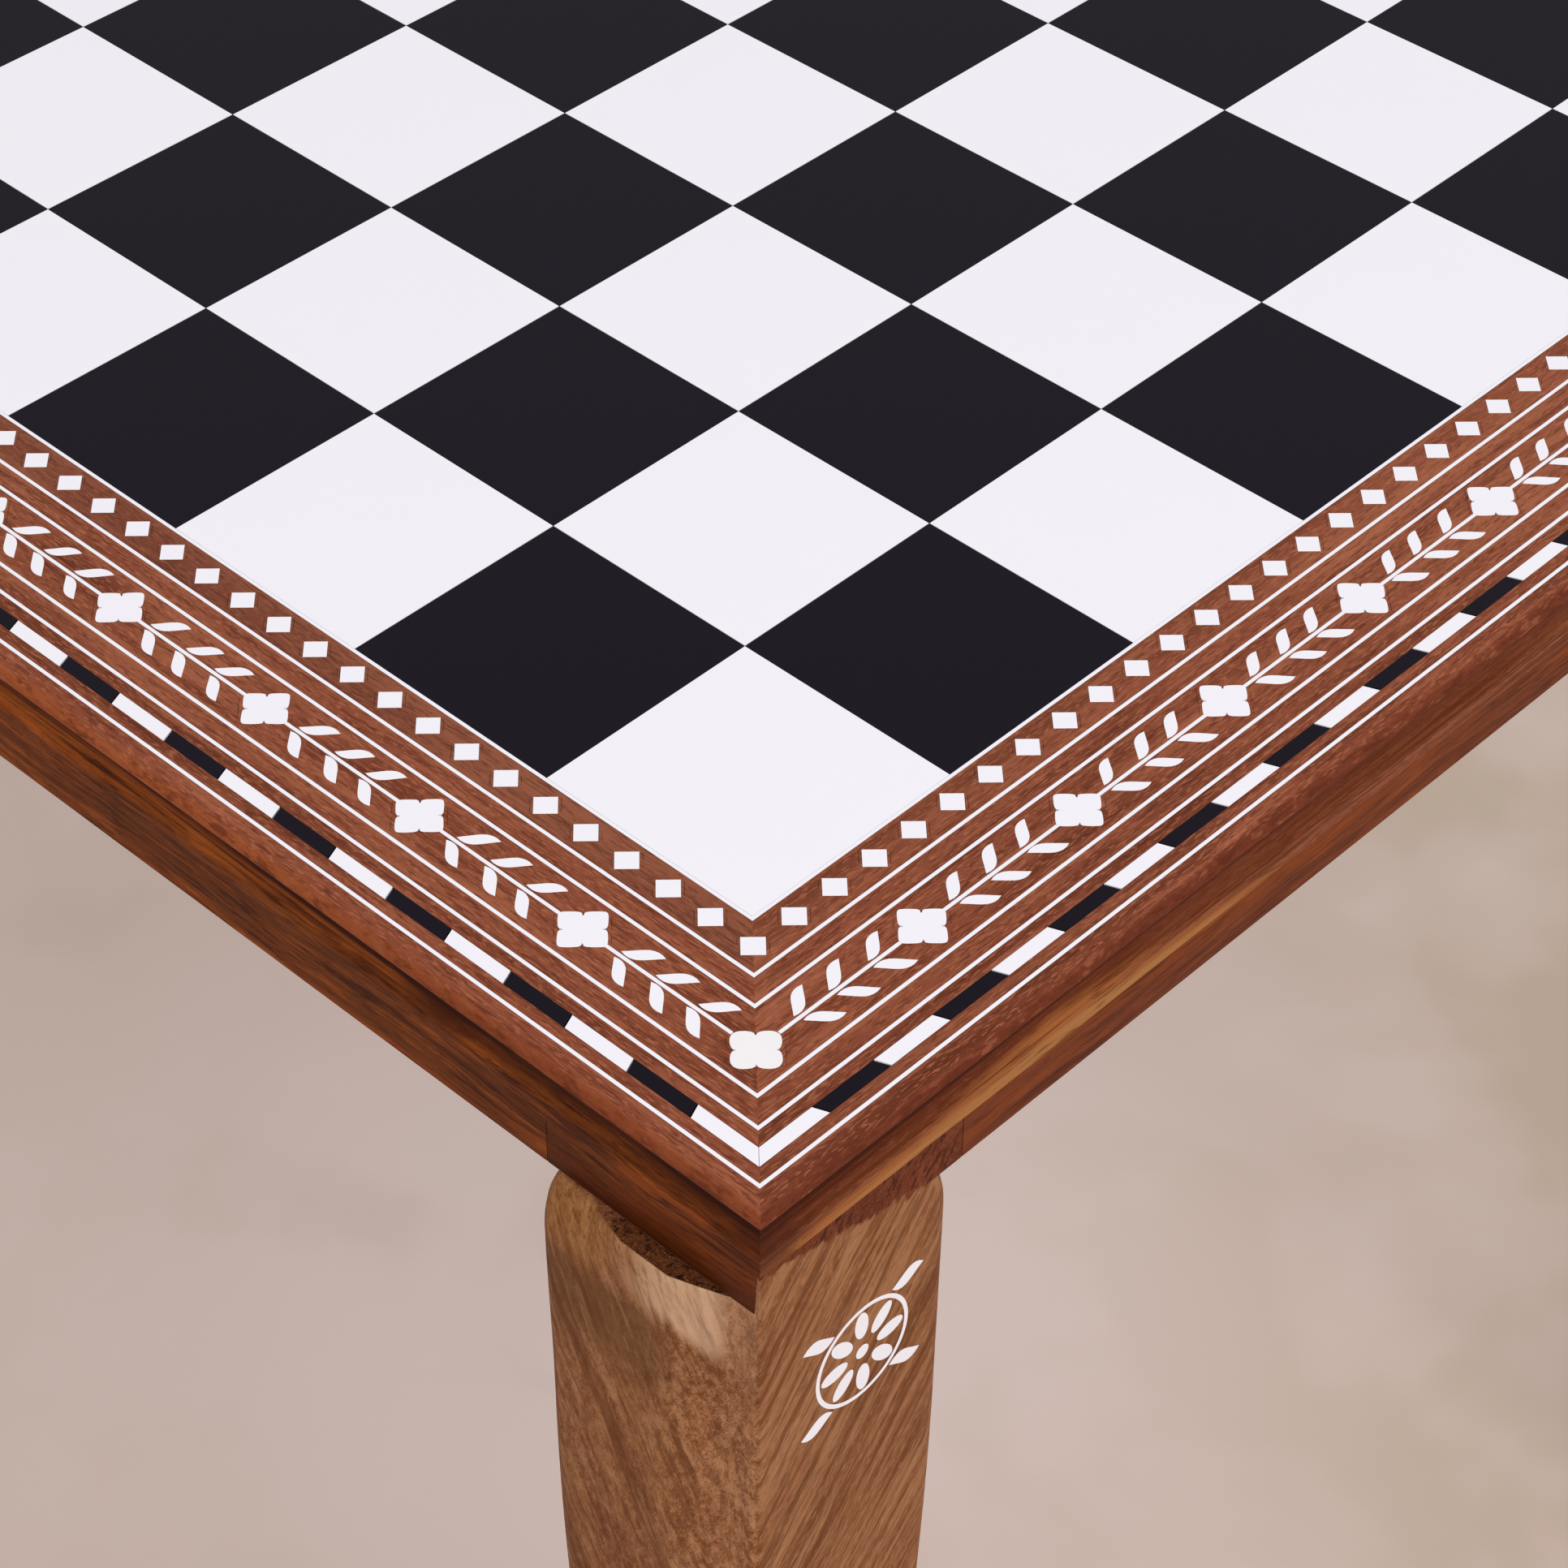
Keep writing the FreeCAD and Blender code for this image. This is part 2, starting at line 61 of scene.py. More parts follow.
SIDES = ("front", "right", "back", "left")
CORNERS = {"front_left": (-1, -1), "front_right": (1, -1), "back_left": (-1, 1), "back_right": (1, 1)}
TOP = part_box("white_squares")[1].z
TOP_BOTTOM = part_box("border_rail_front")[0].z
BOARD_HALF = round(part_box("border_rail_back")[0].y, 4)
TOP_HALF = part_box("border_rail_back")[1].y
POST_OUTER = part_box("leg_back_right")[1].y
POST_WIDTH = POST_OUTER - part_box("leg_back_right")[0].y
APRON_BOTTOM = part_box("apron_front")[0].z
GLIDE_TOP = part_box("foot_glide_front_left")[1].z
LEVEL_X, LEVEL_Y = (1, 0, 0), (0, 1, 0)
GRAIN = {"front": LEVEL_X, "right": LEVEL_Y, "back": LEVEL_X, "left": LEVEL_Y}
RAIL_OFFSETS = {"front": (0, 0.31, 0), "right": (1.7, 0, 0.2), "back": (0.4, 2.3, 0), "left": (3.1, 0, 0.6)}
CREASE = math.radians(35.0)


# ---- sizes and colours
def length(name, description, default):
    """Length property in metres."""
    return FloatProperty(name=name, description=description, default=default, unit="LENGTH",
                         subtype="DISTANCE", precision=5)


def angle(name, description, degrees):
    """Angle property."""
    return FloatProperty(name=name, description=description, default=math.radians(degrees), subtype="ANGLE")


def colour(name, description, red, green, blue):
    """Linear colour property."""
    return FloatVectorProperty(name=name, description=description, default=(red, green, blue),
                               subtype="COLOR", size=3, min=0.0, max=1.0)


def vector(name, description, kind, default):
    """Place or direction property."""
    return FloatVectorProperty(name=name, description=description, default=default, subtype=kind,
                               size=len(default))


class TABLE_PG_vine(bpy.types.PropertyGroup):
    """Leaves of the vine in the border."""

    flowers: IntProperty(name="Intervals", description="Intervals between flowers on one side", default=11)
    offset: length("Stem offset", "Edge of the board to the middle of the stem", 0.0243)
    leaf_length: length("Leaf length", "Root to tip", 0.0083)
    leaf_width: length("Leaf width", "Across the middle of the leaf", 0.0027)
    lean: angle("Lean", "Leaf against the stem", 31.5)
    root: length("Root", "Middle of the stem to the root of the leaf", 0.00095)
    first: length("First pair", "Middle of the flower to the middle of the first pair of leaves", 0.0125)
    spacing: length("Leaf spacing", "One pair of leaves to the next", 0.0097)
    flower_reach: length("Flower reach", "Middle of the flower to the tip of a petal", 0.0065)
    proud: length("Proud", "Leaf above the rail", 0.00003)
    depth: length("Depth", "Leaf let into the rail", 0.0004)


class TABLE_PG_leg(bpy.types.PropertyGroup):
    """Carved leg below its square post."""

    knee_swell: length("Knee swell", "How far the knee stands proud of the post", 0.0053)
    swell_start: length("Swell start", "Where the swell begins, in from the corner of the post", 0.0062)
    swell_rise: length("Swell rise", "How far the swell takes to rise", 0.0128)
    rim_end: length("Rim end", "Where the rim under the apron ends, in from the corner of the post", 0.0400)
    rim_fall: length("Rim fall", "How far the rim takes to round off", 0.0065)
    rim_swell: length("Rim swell", "How far the rim stands proud of the post", 0.0043)
    thigh_swell: length("Thigh swell", "How far the thigh stands proud of the post", 0.0045)
    shoulder: length("Shoulder", "Ease of the inner faces at the apron", 0.0035)
    shoulder_round: length("Shoulder rounding", "Swelling side's inner edge at the apron", 0.0025)
    knee_drop: length("Knee drop", "Widest part of the knee below the apron", 0.013)
    thigh_drop: length("Thigh drop", "End of the knee below the apron", 0.060)
    thigh_width: length("Thigh width", "Width at the thigh", 0.0535)
    ankle_rise: length("Ankle rise", "Ankle above the floor", 0.110)
    ankle_inset: length("Ankle inset", "Outer faces in from the post at the ankle", 0.013)
    ankle_width: length("Ankle width", "Width at the ankle", 0.025)
    foot_rise: length("Foot rise", "Widest part of the foot above the floor", 0.024)
    foot_inset: length("Foot inset", "Outer faces in from the post at the foot", 0.003)
    foot_width: length("Foot width", "Width of the foot", 0.038)
    sole_ease: length("Sole ease", "Sole in from the widest part of the foot", 0.003)
    outer_round: length("Corner rounding", "Outer corner, in line with the post's", 0.0012)
    inner_round: length("Edge rounding", "Other three long edges", 0.0070)


class TABLE_PG_medallion(bpy.types.PropertyGroup):
    """Round inlaid flower on the flat face of each leg."""

    across: length("Across", "Outer corner of the post to the middle", 0.0281)
    drop: length("Drop", "Middle below the apron", 0.0332)
    radius: length("Radius", "Outer radius of the ring", 0.01266)
    line: length("Line", "Width of the ring", 0.0010)
    petals: IntProperty(name="Petals", description="Petals inside the ring", default=8)
    petal_reach: length("Petal reach", "Middle to the tip of a petal", 0.0112)
    petal_length: length("Petal length", "Petals inside the ring", 0.0072)
    petal_width: length("Petal width", "Petals inside the ring", 0.0037)
    petal_turn: angle("Petal turn", "Flower inside the ring, turned by", 3.0)
    eye: length("Eye", "Radius of the dot in the middle", 0.0017)
    leaf_reach: length("Leaf reach", "Middle to the root of a leaf", 0.01335)
    leaf_place: angle("Leaf place", "Root of the leaf above the level line", 54.1)
    leaf_rise: angle("Leaf rise", "Leaf above the level line", 9.3)
    leaf_length: length("Leaf length", "Leaves outside the ring", 0.00867)
    leaf_width: length("Leaf width", "Leaves outside the ring", 0.0036)
    proud: length("Proud", "Inlay above the leg", 0.00003)
    depth: length("Depth", "Inlay let into the leg", 0.0004)


class TABLE_PG_marks(bpy.types.PropertyGroup):
    """Glue lines beside the diamonds and flowers of the border."""

    diamond_offset: length("Diamond offset", "Edge of the board to the middle of the diamonds", 0.0055)
    diamonds: IntProperty(name="Diamonds", description="Intervals between diamonds on one side", default=41)
    diamond_half: length("Diamond half", "Half the side of a diamond", 0.00237)
    flower_half: length("Flower half", "Half the side of a flower", 0.0047)
    gap: length("Gap", "Side of the shape to the glue line", 0.00065)
    width: length("Width", "Half the width of the glue line", 0.00014)
    tint: colour("Tint", "Glue line", 0.030, 0.008, 0.003)


class TABLE_PG_finish(bpy.types.PropertyGroup):
    """Colours of woods and inlay."""

    rail_dark: colour("Rail dark", "Dark streaks of the border", 0.085, 0.016, 0.005)
    rail_mid: colour("Rail", "Border wood", 0.23, 0.06, 0.028)
    rail_light: colour("Rail light", "Light streaks of the border", 0.39, 0.128, 0.062)
    inner_dark: colour("Inner dark", "Strip along the board on the left and right", 0.09, 0.03, 0.02)
    worn_edge: colour("Worn edge", "Rolled upper edge of the front", 0.125, 0.024, 0.009)
    round_edge: colour("Round edge", "Rolled upper edge of the side", 0.335, 0.079, 0.0185)
    # Cove: painted shade in the hollow along the edge; the same dark colour also draws dark streaks and torn
    # flecks
    cove_shade_and_streaks: colour("Cove", "Hollow along the edge", 0.09, 0.016, 0.002)
    sapwood: colour("Sapwood", "Golden sapwood in the front edge", 0.33, 0.108, 0.028)
    sapwood_low: colour("Sapwood low", "Yellow sapwood at the lower edge of the front", 0.37, 0.16, 0.05)
    apron: colour("Apron", "Apron wood", 0.165, 0.038, 0.011)
    leg_dark: colour("Leg dark", "Dark streaks of the legs", 0.125, 0.036, 0.009)
    leg_mid: colour("Leg", "Leg wood", 0.285, 0.108, 0.042)
    leg_light: colour("Leg light", "Light streaks of the legs", 0.48, 0.24, 0.115)
    leg_heart: colour("Leg heart", "Dark belt below the knee's shoulder", 0.12, 0.048, 0.013)
    leg_pale: colour("Leg pale", "Pale sapwood along the knee's ledge", 0.6, 0.38, 0.235)
    ochre: colour("Ochre", "Shoulder of the knee", 0.38, 0.168, 0.052)
    umber: colour("Umber", "Body of the side edge", 0.135, 0.031, 0.0025)
    amber: colour("Amber", "Orange-brown streaks of the side edge", 0.215, 0.044, 0.004)
    flame: colour("Flame", "Bright streaks of the side edge", 0.33, 0.078, 0.011)
    olive: colour("Olive", "Yellow-brown streaks of the side edge", 0.175, 0.058, 0.01)
    # Near-black end grain of the knee's ledge, also used for dark streaks; it also paints the shadow lines
    # under the rolled lip and the shade at the foot of the posts' side faces
    end_grain: colour("End grain", "Rough end grain on the knee's ledge", 0.03, 0.004, 0.001)
    white: colour("White", "White resin", 0.855, 0.834, 0.888)
    cream: colour("Cream", "Flowers in the corners", 0.85, 0.812, 0.83)
    black: colour("Black", "Black resin", 0.0044, 0.0024, 0.0078)
    felt: colour("Felt", "Glides under the feet", 0.05, 0.03, 0.02)
    ply: colour("Plywood", "Panel under the squares", 0.43, 0.29, 0.16)


class TABLE_PG_stage(bpy.types.PropertyGroup):
    """Floor, lamps and camera."""

    floor: colour("Floor", "Plain floor", 0.680, 0.545, 0.485)
    # Painted light: the lighter floor of a soft pool of light under the table; the same colour also lightens
    # random mottle near the table
    floor_lit_pool_and_mottle: colour("Floor light", "Lighter floor under the table", 0.770, 0.640, 0.600)
    floor_beige: colour("Floor beige", "Yellower patches in the floor", 0.560, 0.445, 0.350)
    # Place and reach of the painted pool of light on the floor
    light_pool_place: vector("Light patch place", "Middle of the lighter floor", "TRANSLATION", (0.09, 0.13))
    light_pool_reach: length("Light patch reach", "Middle to edge of the lighter floor", 0.36)
    floor_half: length("Floor half width", "Middle to edge of the floor", 6.0)
    sky: FloatProperty(name="Sky", description="Strength of the even light from all round", default=0.70)
    key_power: FloatProperty(name="Key lamp", description="Power of the lamp", default=78.0, unit="POWER")
    key_size: length("Key size", "Width of the large soft lamp", 2.6)
    key_place: vector("Key place", "Middle of the lamp", "TRANSLATION", (-1.1, -2.6, 3.2))
    lens: FloatProperty(name="Lens", description="Focal length", default=93.091, unit="CAMERA")
    sensor: FloatProperty(name="Sensor", description="Width of the sensor", default=36.0, unit="CAMERA")
    camera_place: vector("Camera place", "Camera", "TRANSLATION", (-0.612001, -0.593177, 1.132762))
    camera_aim: vector("Camera aim", "Where the camera looks", "DIRECTION", (0.542337, 0.505872, -0.670794))
    camera_roll: angle("Camera roll", "Turn of the camera round its own axis", 0.83883)


GROUPS = {
    "table_vine": TABLE_PG_vine,
    "table_leg": TABLE_PG_leg,
    "table_medallion": TABLE_PG_medallion,
    "table_marks": TABLE_PG_marks,
    "table_finish": TABLE_PG_finish,
    "table_stage": TABLE_PG_stage,
}


# ---- surfaces
def placed(name, data):
    """Object of the scene made of a mesh, lamp or camera."""
    thing = bpy.data.objects.new(name, data)
    bpy.context.scene.collection.objects.link(thing)
    return thing


def closed_mesh(name, points, faces, slot, materials):
    """Object from an array of points and its faces, normals outward, creased where faces meet sharply."""
    mesh = bpy.data.meshes.new(name)
    mesh.from_pydata(points.tolist(), [], faces)
    work = bmesh.new()
    work.from_mesh(mesh)
    bmesh.ops.recalc_face_normals(work, faces=work.faces)
    work.to_mesh(mesh)
    work.free()
    mesh.shade_smooth()
    mesh.set_sharp_from_angle(angle=CREASE)
    for material in materials:
        mesh.materials.append(material)
    piece = placed(name, mesh)
    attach(piece, "root")
    return piece


def ring_faces(rings, corners, first=0):
    """Four-cornered faces between closed rings of points that follow one another."""
    row, column = np.meshgrid(np.arange(rings - 1), np.arange(corners), indexing="ij")
    after = (column + 1) % corners
    quads = np.stack([row * corners + column, row * corners + after,
                      (row + 1) * corners + after, (row + 1) * corners + column], axis=-1)
    return (quads.reshape(-1, 4) + first).tolist()


def plates(outlines, low, high):
    """Flat closed plates: each outline (plate, corner, 2) is carried straight from one height to another."""
    count, corners = outlines.shape[:2]
    levels = np.array([low, high])
    points = np.empty((count, 2, corners, 3))
    points[..., :2] = outlines[:, None]
    points[..., 2] = levels[None, :, None]
    faces = []
    for plate in range(count):
        first = plate * 2 * corners
        faces += ring_faces(2, corners, first)
        faces.append(list(range(first, first + corners)))
        faces.append(list(range(first + corners, first + 2 * corners)))
    return points.reshape(-1, 3), faces


def joined(parts):
    """Points and faces of several parts as one."""
    points, faces, first = [], [], 0
    for some, those in parts:
        points.append(some)
        faces += [[corner + first for corner in face] for face in those]
        first += len(some)
    return np.concatenate(points), faces


def leaf_outline(size, width, steps=10):
    """Leaf along +X about its middle, the same when turned half round.

    The upper edge rises almost straight from the root to a rounded shoulder past the middle and falls in
    a curve to the tip; the lower edge is the same edge turned half round.
    """
    fullness = 0.555
    t = np.linspace(0, 1, steps + 1)[:-1]
    rise = np.interp(t, np.linspace(0, 1, 11), (0, 0.18, 0.36, 0.55, 0.74, 0.90, 1.0, 0.98, 0.83, 0.52, 0))
    upper = np.stack([(t - 0.5) * size, rise * width * fullness], axis=-1)
    return np.concatenate([upper, -upper])[::-1]


def turned(points, angles):
    """Points (..., 2) turned by angles about the origin."""
    cos, sin = np.cos(angles), np.sin(angles)
    x, y = points[..., 0], points[..., 1]
    return np.stack([x * cos - y * sin, x * sin + y * cos], axis=-1)


def uneven(number, reach, pace):
    """Small shifts of numbered shapes, reach * sin(pace * number), as uneven as hand-cut ones."""
    return reach * np.sin(number * pace)


def circle(steps):
    """Points round a circle of radius 1."""
    return turned(np.array((1.0, 0.0)), np.linspace(0, 2 * math.pi, steps, endpoint=False))


def vine_leaves(vine):
    """Outlines of the front side's leaves (leaf, corner, 2).

    Leaves stand in pairs on both sides of the stem, their tips away from it and towards +X, a little
    uneven. Beside the flower in the corner they start further on.
    """
    pairs, corner_shift = 3, 0.0018
    reach = BOARD_HALF + vine.offset
    grid = np.meshgrid(np.arange(vine.flowers), np.arange(pairs), [1.0, -1.0], indexing="ij")
    interval, pair, side = (axis.ravel() for axis in grid)
    number = np.arange(interval.size)
    lean = vine.lean + np.radians(1.3) * side + uneven(number, np.radians(2.6), 2.7)
    size = vine.leaf_length * (1 + uneven(number, 0.03, 4.1))
    pitch = 2 * reach / vine.flowers
    x = -reach + interval * pitch + vine.first + pair * vine.spacing + uneven(number, 0.0005, 1.9)
    x += np.where(interval == 0, corner_shift, 0.0)
    away = vine.root + np.sin(lean) * vine.leaf_length / 2
    base = leaf_outline(1.0, vine.leaf_width / vine.leaf_length)
    outlines = base[None] * size[:, None, None]
    outlines = np.where(side[:, None, None] > 0, outlines, outlines * (1, -1))
    outlines = turned(outlines, (lean * side)[:, None])
    outlines = np.where(side[:, None, None] > 0, outlines, outlines[:, ::-1])
    outlines[..., 0] += x[:, None]
    outlines[..., 1] += (-reach + side * away)[:, None]
    return outlines


def flower_outlines(vine):
    """Outlines of the flowers that the front side owns, corner first (flower, corner, 2).

    A quarter of the flower is a petal with its tip in a corner of a square. Half of it goes from the slot
    in the middle of a side, as (out, along) in shares of the flower's reach, to the tip; the other half is
    its mirror image. Three turned copies complete the flower. The corner flower's petals are rounder, and
    every flower's size and turn are a little uneven.
    """
    plain = np.array([(0.545, 0.0), (0.600, 0.028), (0.655, 0.036), (0.686, 0.070), (0.708, 0.140),
                      (0.718, 0.260), (0.722, 0.400), (0.720, 0.520), (0.708, 0.620), (0.676, 0.676)])
    round_ = np.array([(0.550, 0.0), (0.600, 0.026), (0.640, 0.040), (0.676, 0.085), (0.708, 0.165),
                       (0.726, 0.270), (0.728, 0.400), (0.712, 0.500), (0.676, 0.580), (0.632, 0.632)])
    number = np.arange(vine.flowers)
    half = np.where(number[:, None, None] == 0, round_[None], plain[None])
    petal = np.concatenate([half, half[:, -2:0:-1, ::-1]], axis=1)
    petals = [turned(petal, (quarter + 0.5) * math.pi / 2) for quarter in range(4)]
    outlines = np.concatenate(petals, axis=1) * vine.flower_reach
    outlines = outlines * (1 + uneven(number, 0.025, 5.3))[:, None, None]
    outlines = turned(outlines, uneven(number, np.radians(2.0), 3.1)[:, None])
    reach = BOARD_HALF + vine.offset
    outlines[..., 0] += (-reach + number * 2 * reach / vine.flowers)[:, None]
    outlines[..., 1] -= reach
    return outlines


def smooth(share):
    """Share of 0..1 that eases in and out."""
    return share * share * (3 - 2 * share)


def leg_levels(leg):
    """Heights of the leg's sections and the sizes there, as arrays from the sole up to the ledge.

    Between the named places every size eases in and out; over the knee the inner faces come in to the
    shoulder along a quarter of an ellipse.
    """
    places = np.array([GLIDE_TOP, leg.foot_rise, leg.ankle_rise, APRON_BOTTOM - leg.thigh_drop,
                       APRON_BOTTOM - leg.knee_drop])
    inset = np.array([leg.foot_inset + leg.sole_ease, leg.foot_inset, leg.ankle_inset, 0, 0])
    width = np.array([leg.foot_width - 2 * leg.sole_ease, leg.foot_width, leg.ankle_width, leg.thigh_width,
                      POST_WIDTH])
    swell = np.array([0, 0, 0, leg.thigh_swell, leg.knee_swell])
    corner = np.array([0.009, 0.010, 0.006, 0.002, leg.outer_round])
    edge = np.array([0.009, 0.011, 0.008, 0.0065, leg.inner_round])
    steps = (5, 12, 40, 6)
    share = np.concatenate([k + np.linspace(0, 1, n, endpoint=False) for k, n in enumerate(steps)] + [[4.0]])
    whole = np.minimum(share.astype(int), 3)
    part = share - whole
    eased = smooth(part)
    height = places[whole] * (1 - part) + places[whole + 1] * part
    named = (inset, inset + width, swell, corner, edge, edge)
    sizes = [s[whole] * (1 - eased) + s[whole + 1] * eased for s in named]
    over = np.sin(np.linspace(0, math.pi / 2, 11)[1:])
    height = np.concatenate([height, places[4] + leg.knee_drop * over])
    crown = 1 - np.sqrt(np.clip(1 - over ** 2, 0, 1))
    inner = POST_WIDTH - leg.shoulder * crown
    rounding = leg.inner_round + (leg.shoulder_round - leg.inner_round) * crown
    tails = (0.0, inner, leg.knee_swell, leg.outer_round, leg.inner_round, rounding)
    sizes = [np.concatenate([s, np.broadcast_to(tail, over.shape)]) for s, tail in zip(sizes, tails)]
    return height, sizes, np.concatenate([np.zeros(len(share)), crown])


def rounded_square(low, high, corner, edge, far, arc=7, side=7):
    """Rings (section, point, 2) round squares from low to high along both axes, corners rounded.

    The corners at low, low and at low, high have a radius of their own and the other two share one.
    Every corner is an arc of 90 degrees and every side is straight between two arcs.
    """
    starts = math.pi + np.arange(4) * math.pi / 2
    turn = starts[:, None] + np.linspace(0, math.pi / 2, arc)[None]
    radius = np.stack([corner, edge, edge, far], axis=-1)
    at = np.array([[0, 0], [1, 0], [1, 1], [0, 1]])
    ends = np.stack([low, high], axis=-1)
    centre = ends[:, at] + radius[..., None] * (1 - 2 * at)
    arcs = centre[:, :, None] + radius[..., None, None] * np.stack([np.cos(turn), np.sin(turn)], axis=-1)
    share = (np.arange(1, side + 1) / (side + 1))[:, None]
    begin, end = arcs[:, :, -1:], np.roll(arcs, -1, axis=1)[:, :, :1]
    rows = np.concatenate([arcs, begin * (1 - share) + end * share], axis=2)
    return rows.reshape(len(low), -1, 2)


def leg_shells(leg):
    """Rings (ring, point, 3) of the front left leg from the sole to the apron, and of the post on top of it.

    Each ring is a rounded square. Its outer X side swells: across the face the swell eases in from the
    corner of the post and then holds. Over the knee a rim carries the swell up to the apron, and from
    the end of the rim to the far edge the swell rounds off to the post. The inner X side comes in earlier,
    with a power of the height over the knee. The post is a square prism with barely broken edges.
    """
    power, hold, broken = 2.2, 1.6, np.full(2, 0.0002)
    height, (low, high, swell, corner, edge, far), crown = leg_levels(leg)
    rings = rounded_square(low, high, corner, edge, far)
    climb = np.sqrt(1 - (1 - crown) ** 2)
    rings[..., 0] *= (1 - leg.shoulder * (climb ** power - crown) / POST_WIDTH)[:, None]
    across = rings[..., 1]
    rise = smooth(np.clip((across - leg.swell_start) / leg.swell_rise, 0, 1))
    rim = smooth(np.clip((leg.rim_end - across) / leg.rim_fall, 0, 1))
    middle = (low + high)[:, None] / 2
    outward = np.clip((middle - rings[..., 0]) / (middle - low[:, None]), 0, 1)
    proud = swell[:, None] * (1 - crown[:, None]) + leg.rim_swell * rim * crown[:, None]
    rings[..., 0] -= proud * rise * smooth(np.clip(outward * hold, 0, 1))
    post = rounded_square(np.zeros(2), np.full(2, POST_WIDTH), broken, broken, broken)
    shells = []
    for plan, levels in ((rings, height), (post, np.array([APRON_BOTTOM, TOP_BOTTOM]))):
        points = np.empty(plan.shape[:2] + (3,))
        points[..., :2] = plan - POST_OUTER
        points[..., 2] = levels[:, None]
        shells.append(points)
    return shells


def medallion_plates(medallion):
    """Outlines (plate, corner, 2) of eye, petals and leaves about the medallion's middle.

    The eye is a circle; a petal is an ellipse along a radius, repeated evenly round; the four leaves are
    mirror images across both axes.
    """
    eye = circle(20) * medallion.eye
    petal = circle(20) * (medallion.petal_length / 2, medallion.petal_width / 2)
    petal += (medallion.petal_reach - medallion.petal_length / 2, 0)
    turns = medallion.petal_turn + np.arange(medallion.petals) * 2 * math.pi / medallion.petals
    petals = turned(petal[None], turns[:, None])
    leaf = leaf_outline(medallion.leaf_length, medallion.leaf_width) + (medallion.leaf_length / 2, 0)
    place = medallion.leaf_reach * np.array([math.cos(medallion.leaf_place), math.sin(medallion.leaf_place)])
    leaf = turned(leaf, medallion.leaf_rise) + place
    mirror = np.array([(1, 1), (-1, 1), (1, -1), (-1, -1)], dtype=float)[:, None]
    return np.concatenate([eye[None], petals, leaf[None] * mirror])


def medallion_ring(medallion, steps=64):
    """Flat ring about the origin: a rectangle carried round a circle and joined to its start."""
    outer, inner = medallion.radius, medallion.radius - medallion.line
    points = np.empty((steps, 4, 3))
    points[..., :2] = circle(steps)[:, None] * np.array((outer, outer, inner, inner))[:, None]
    points[..., 2] = (-medallion.depth, medallion.proud, medallion.proud, -medallion.depth)
    faces = np.array(ring_faces(steps + 1, 4)) % (steps * 4)
    return points.reshape(-1, 3), faces.tolist()


# ---- shader expressions
class Field:
    """A number or colour that varies over a surface; arithmetic on it adds Math nodes."""

    def __init__(self, recipe, socket):
        self.recipe = recipe
        self.socket = socket

    def __add__(self, other):
        return self.recipe.maths("ADD", self, other)

    def __sub__(self, other):
        return self.recipe.maths("SUBTRACT", self, other)

    def __mul__(self, other):
        return self.recipe.maths("MULTIPLY", self, other)

    def __rsub__(self, other):
        return self.recipe.maths("SUBTRACT", other, self)

    def __abs__(self):
        return self.recipe.maths("ABSOLUTE", self)

    __radd__ = __add__
    __rmul__ = __mul__


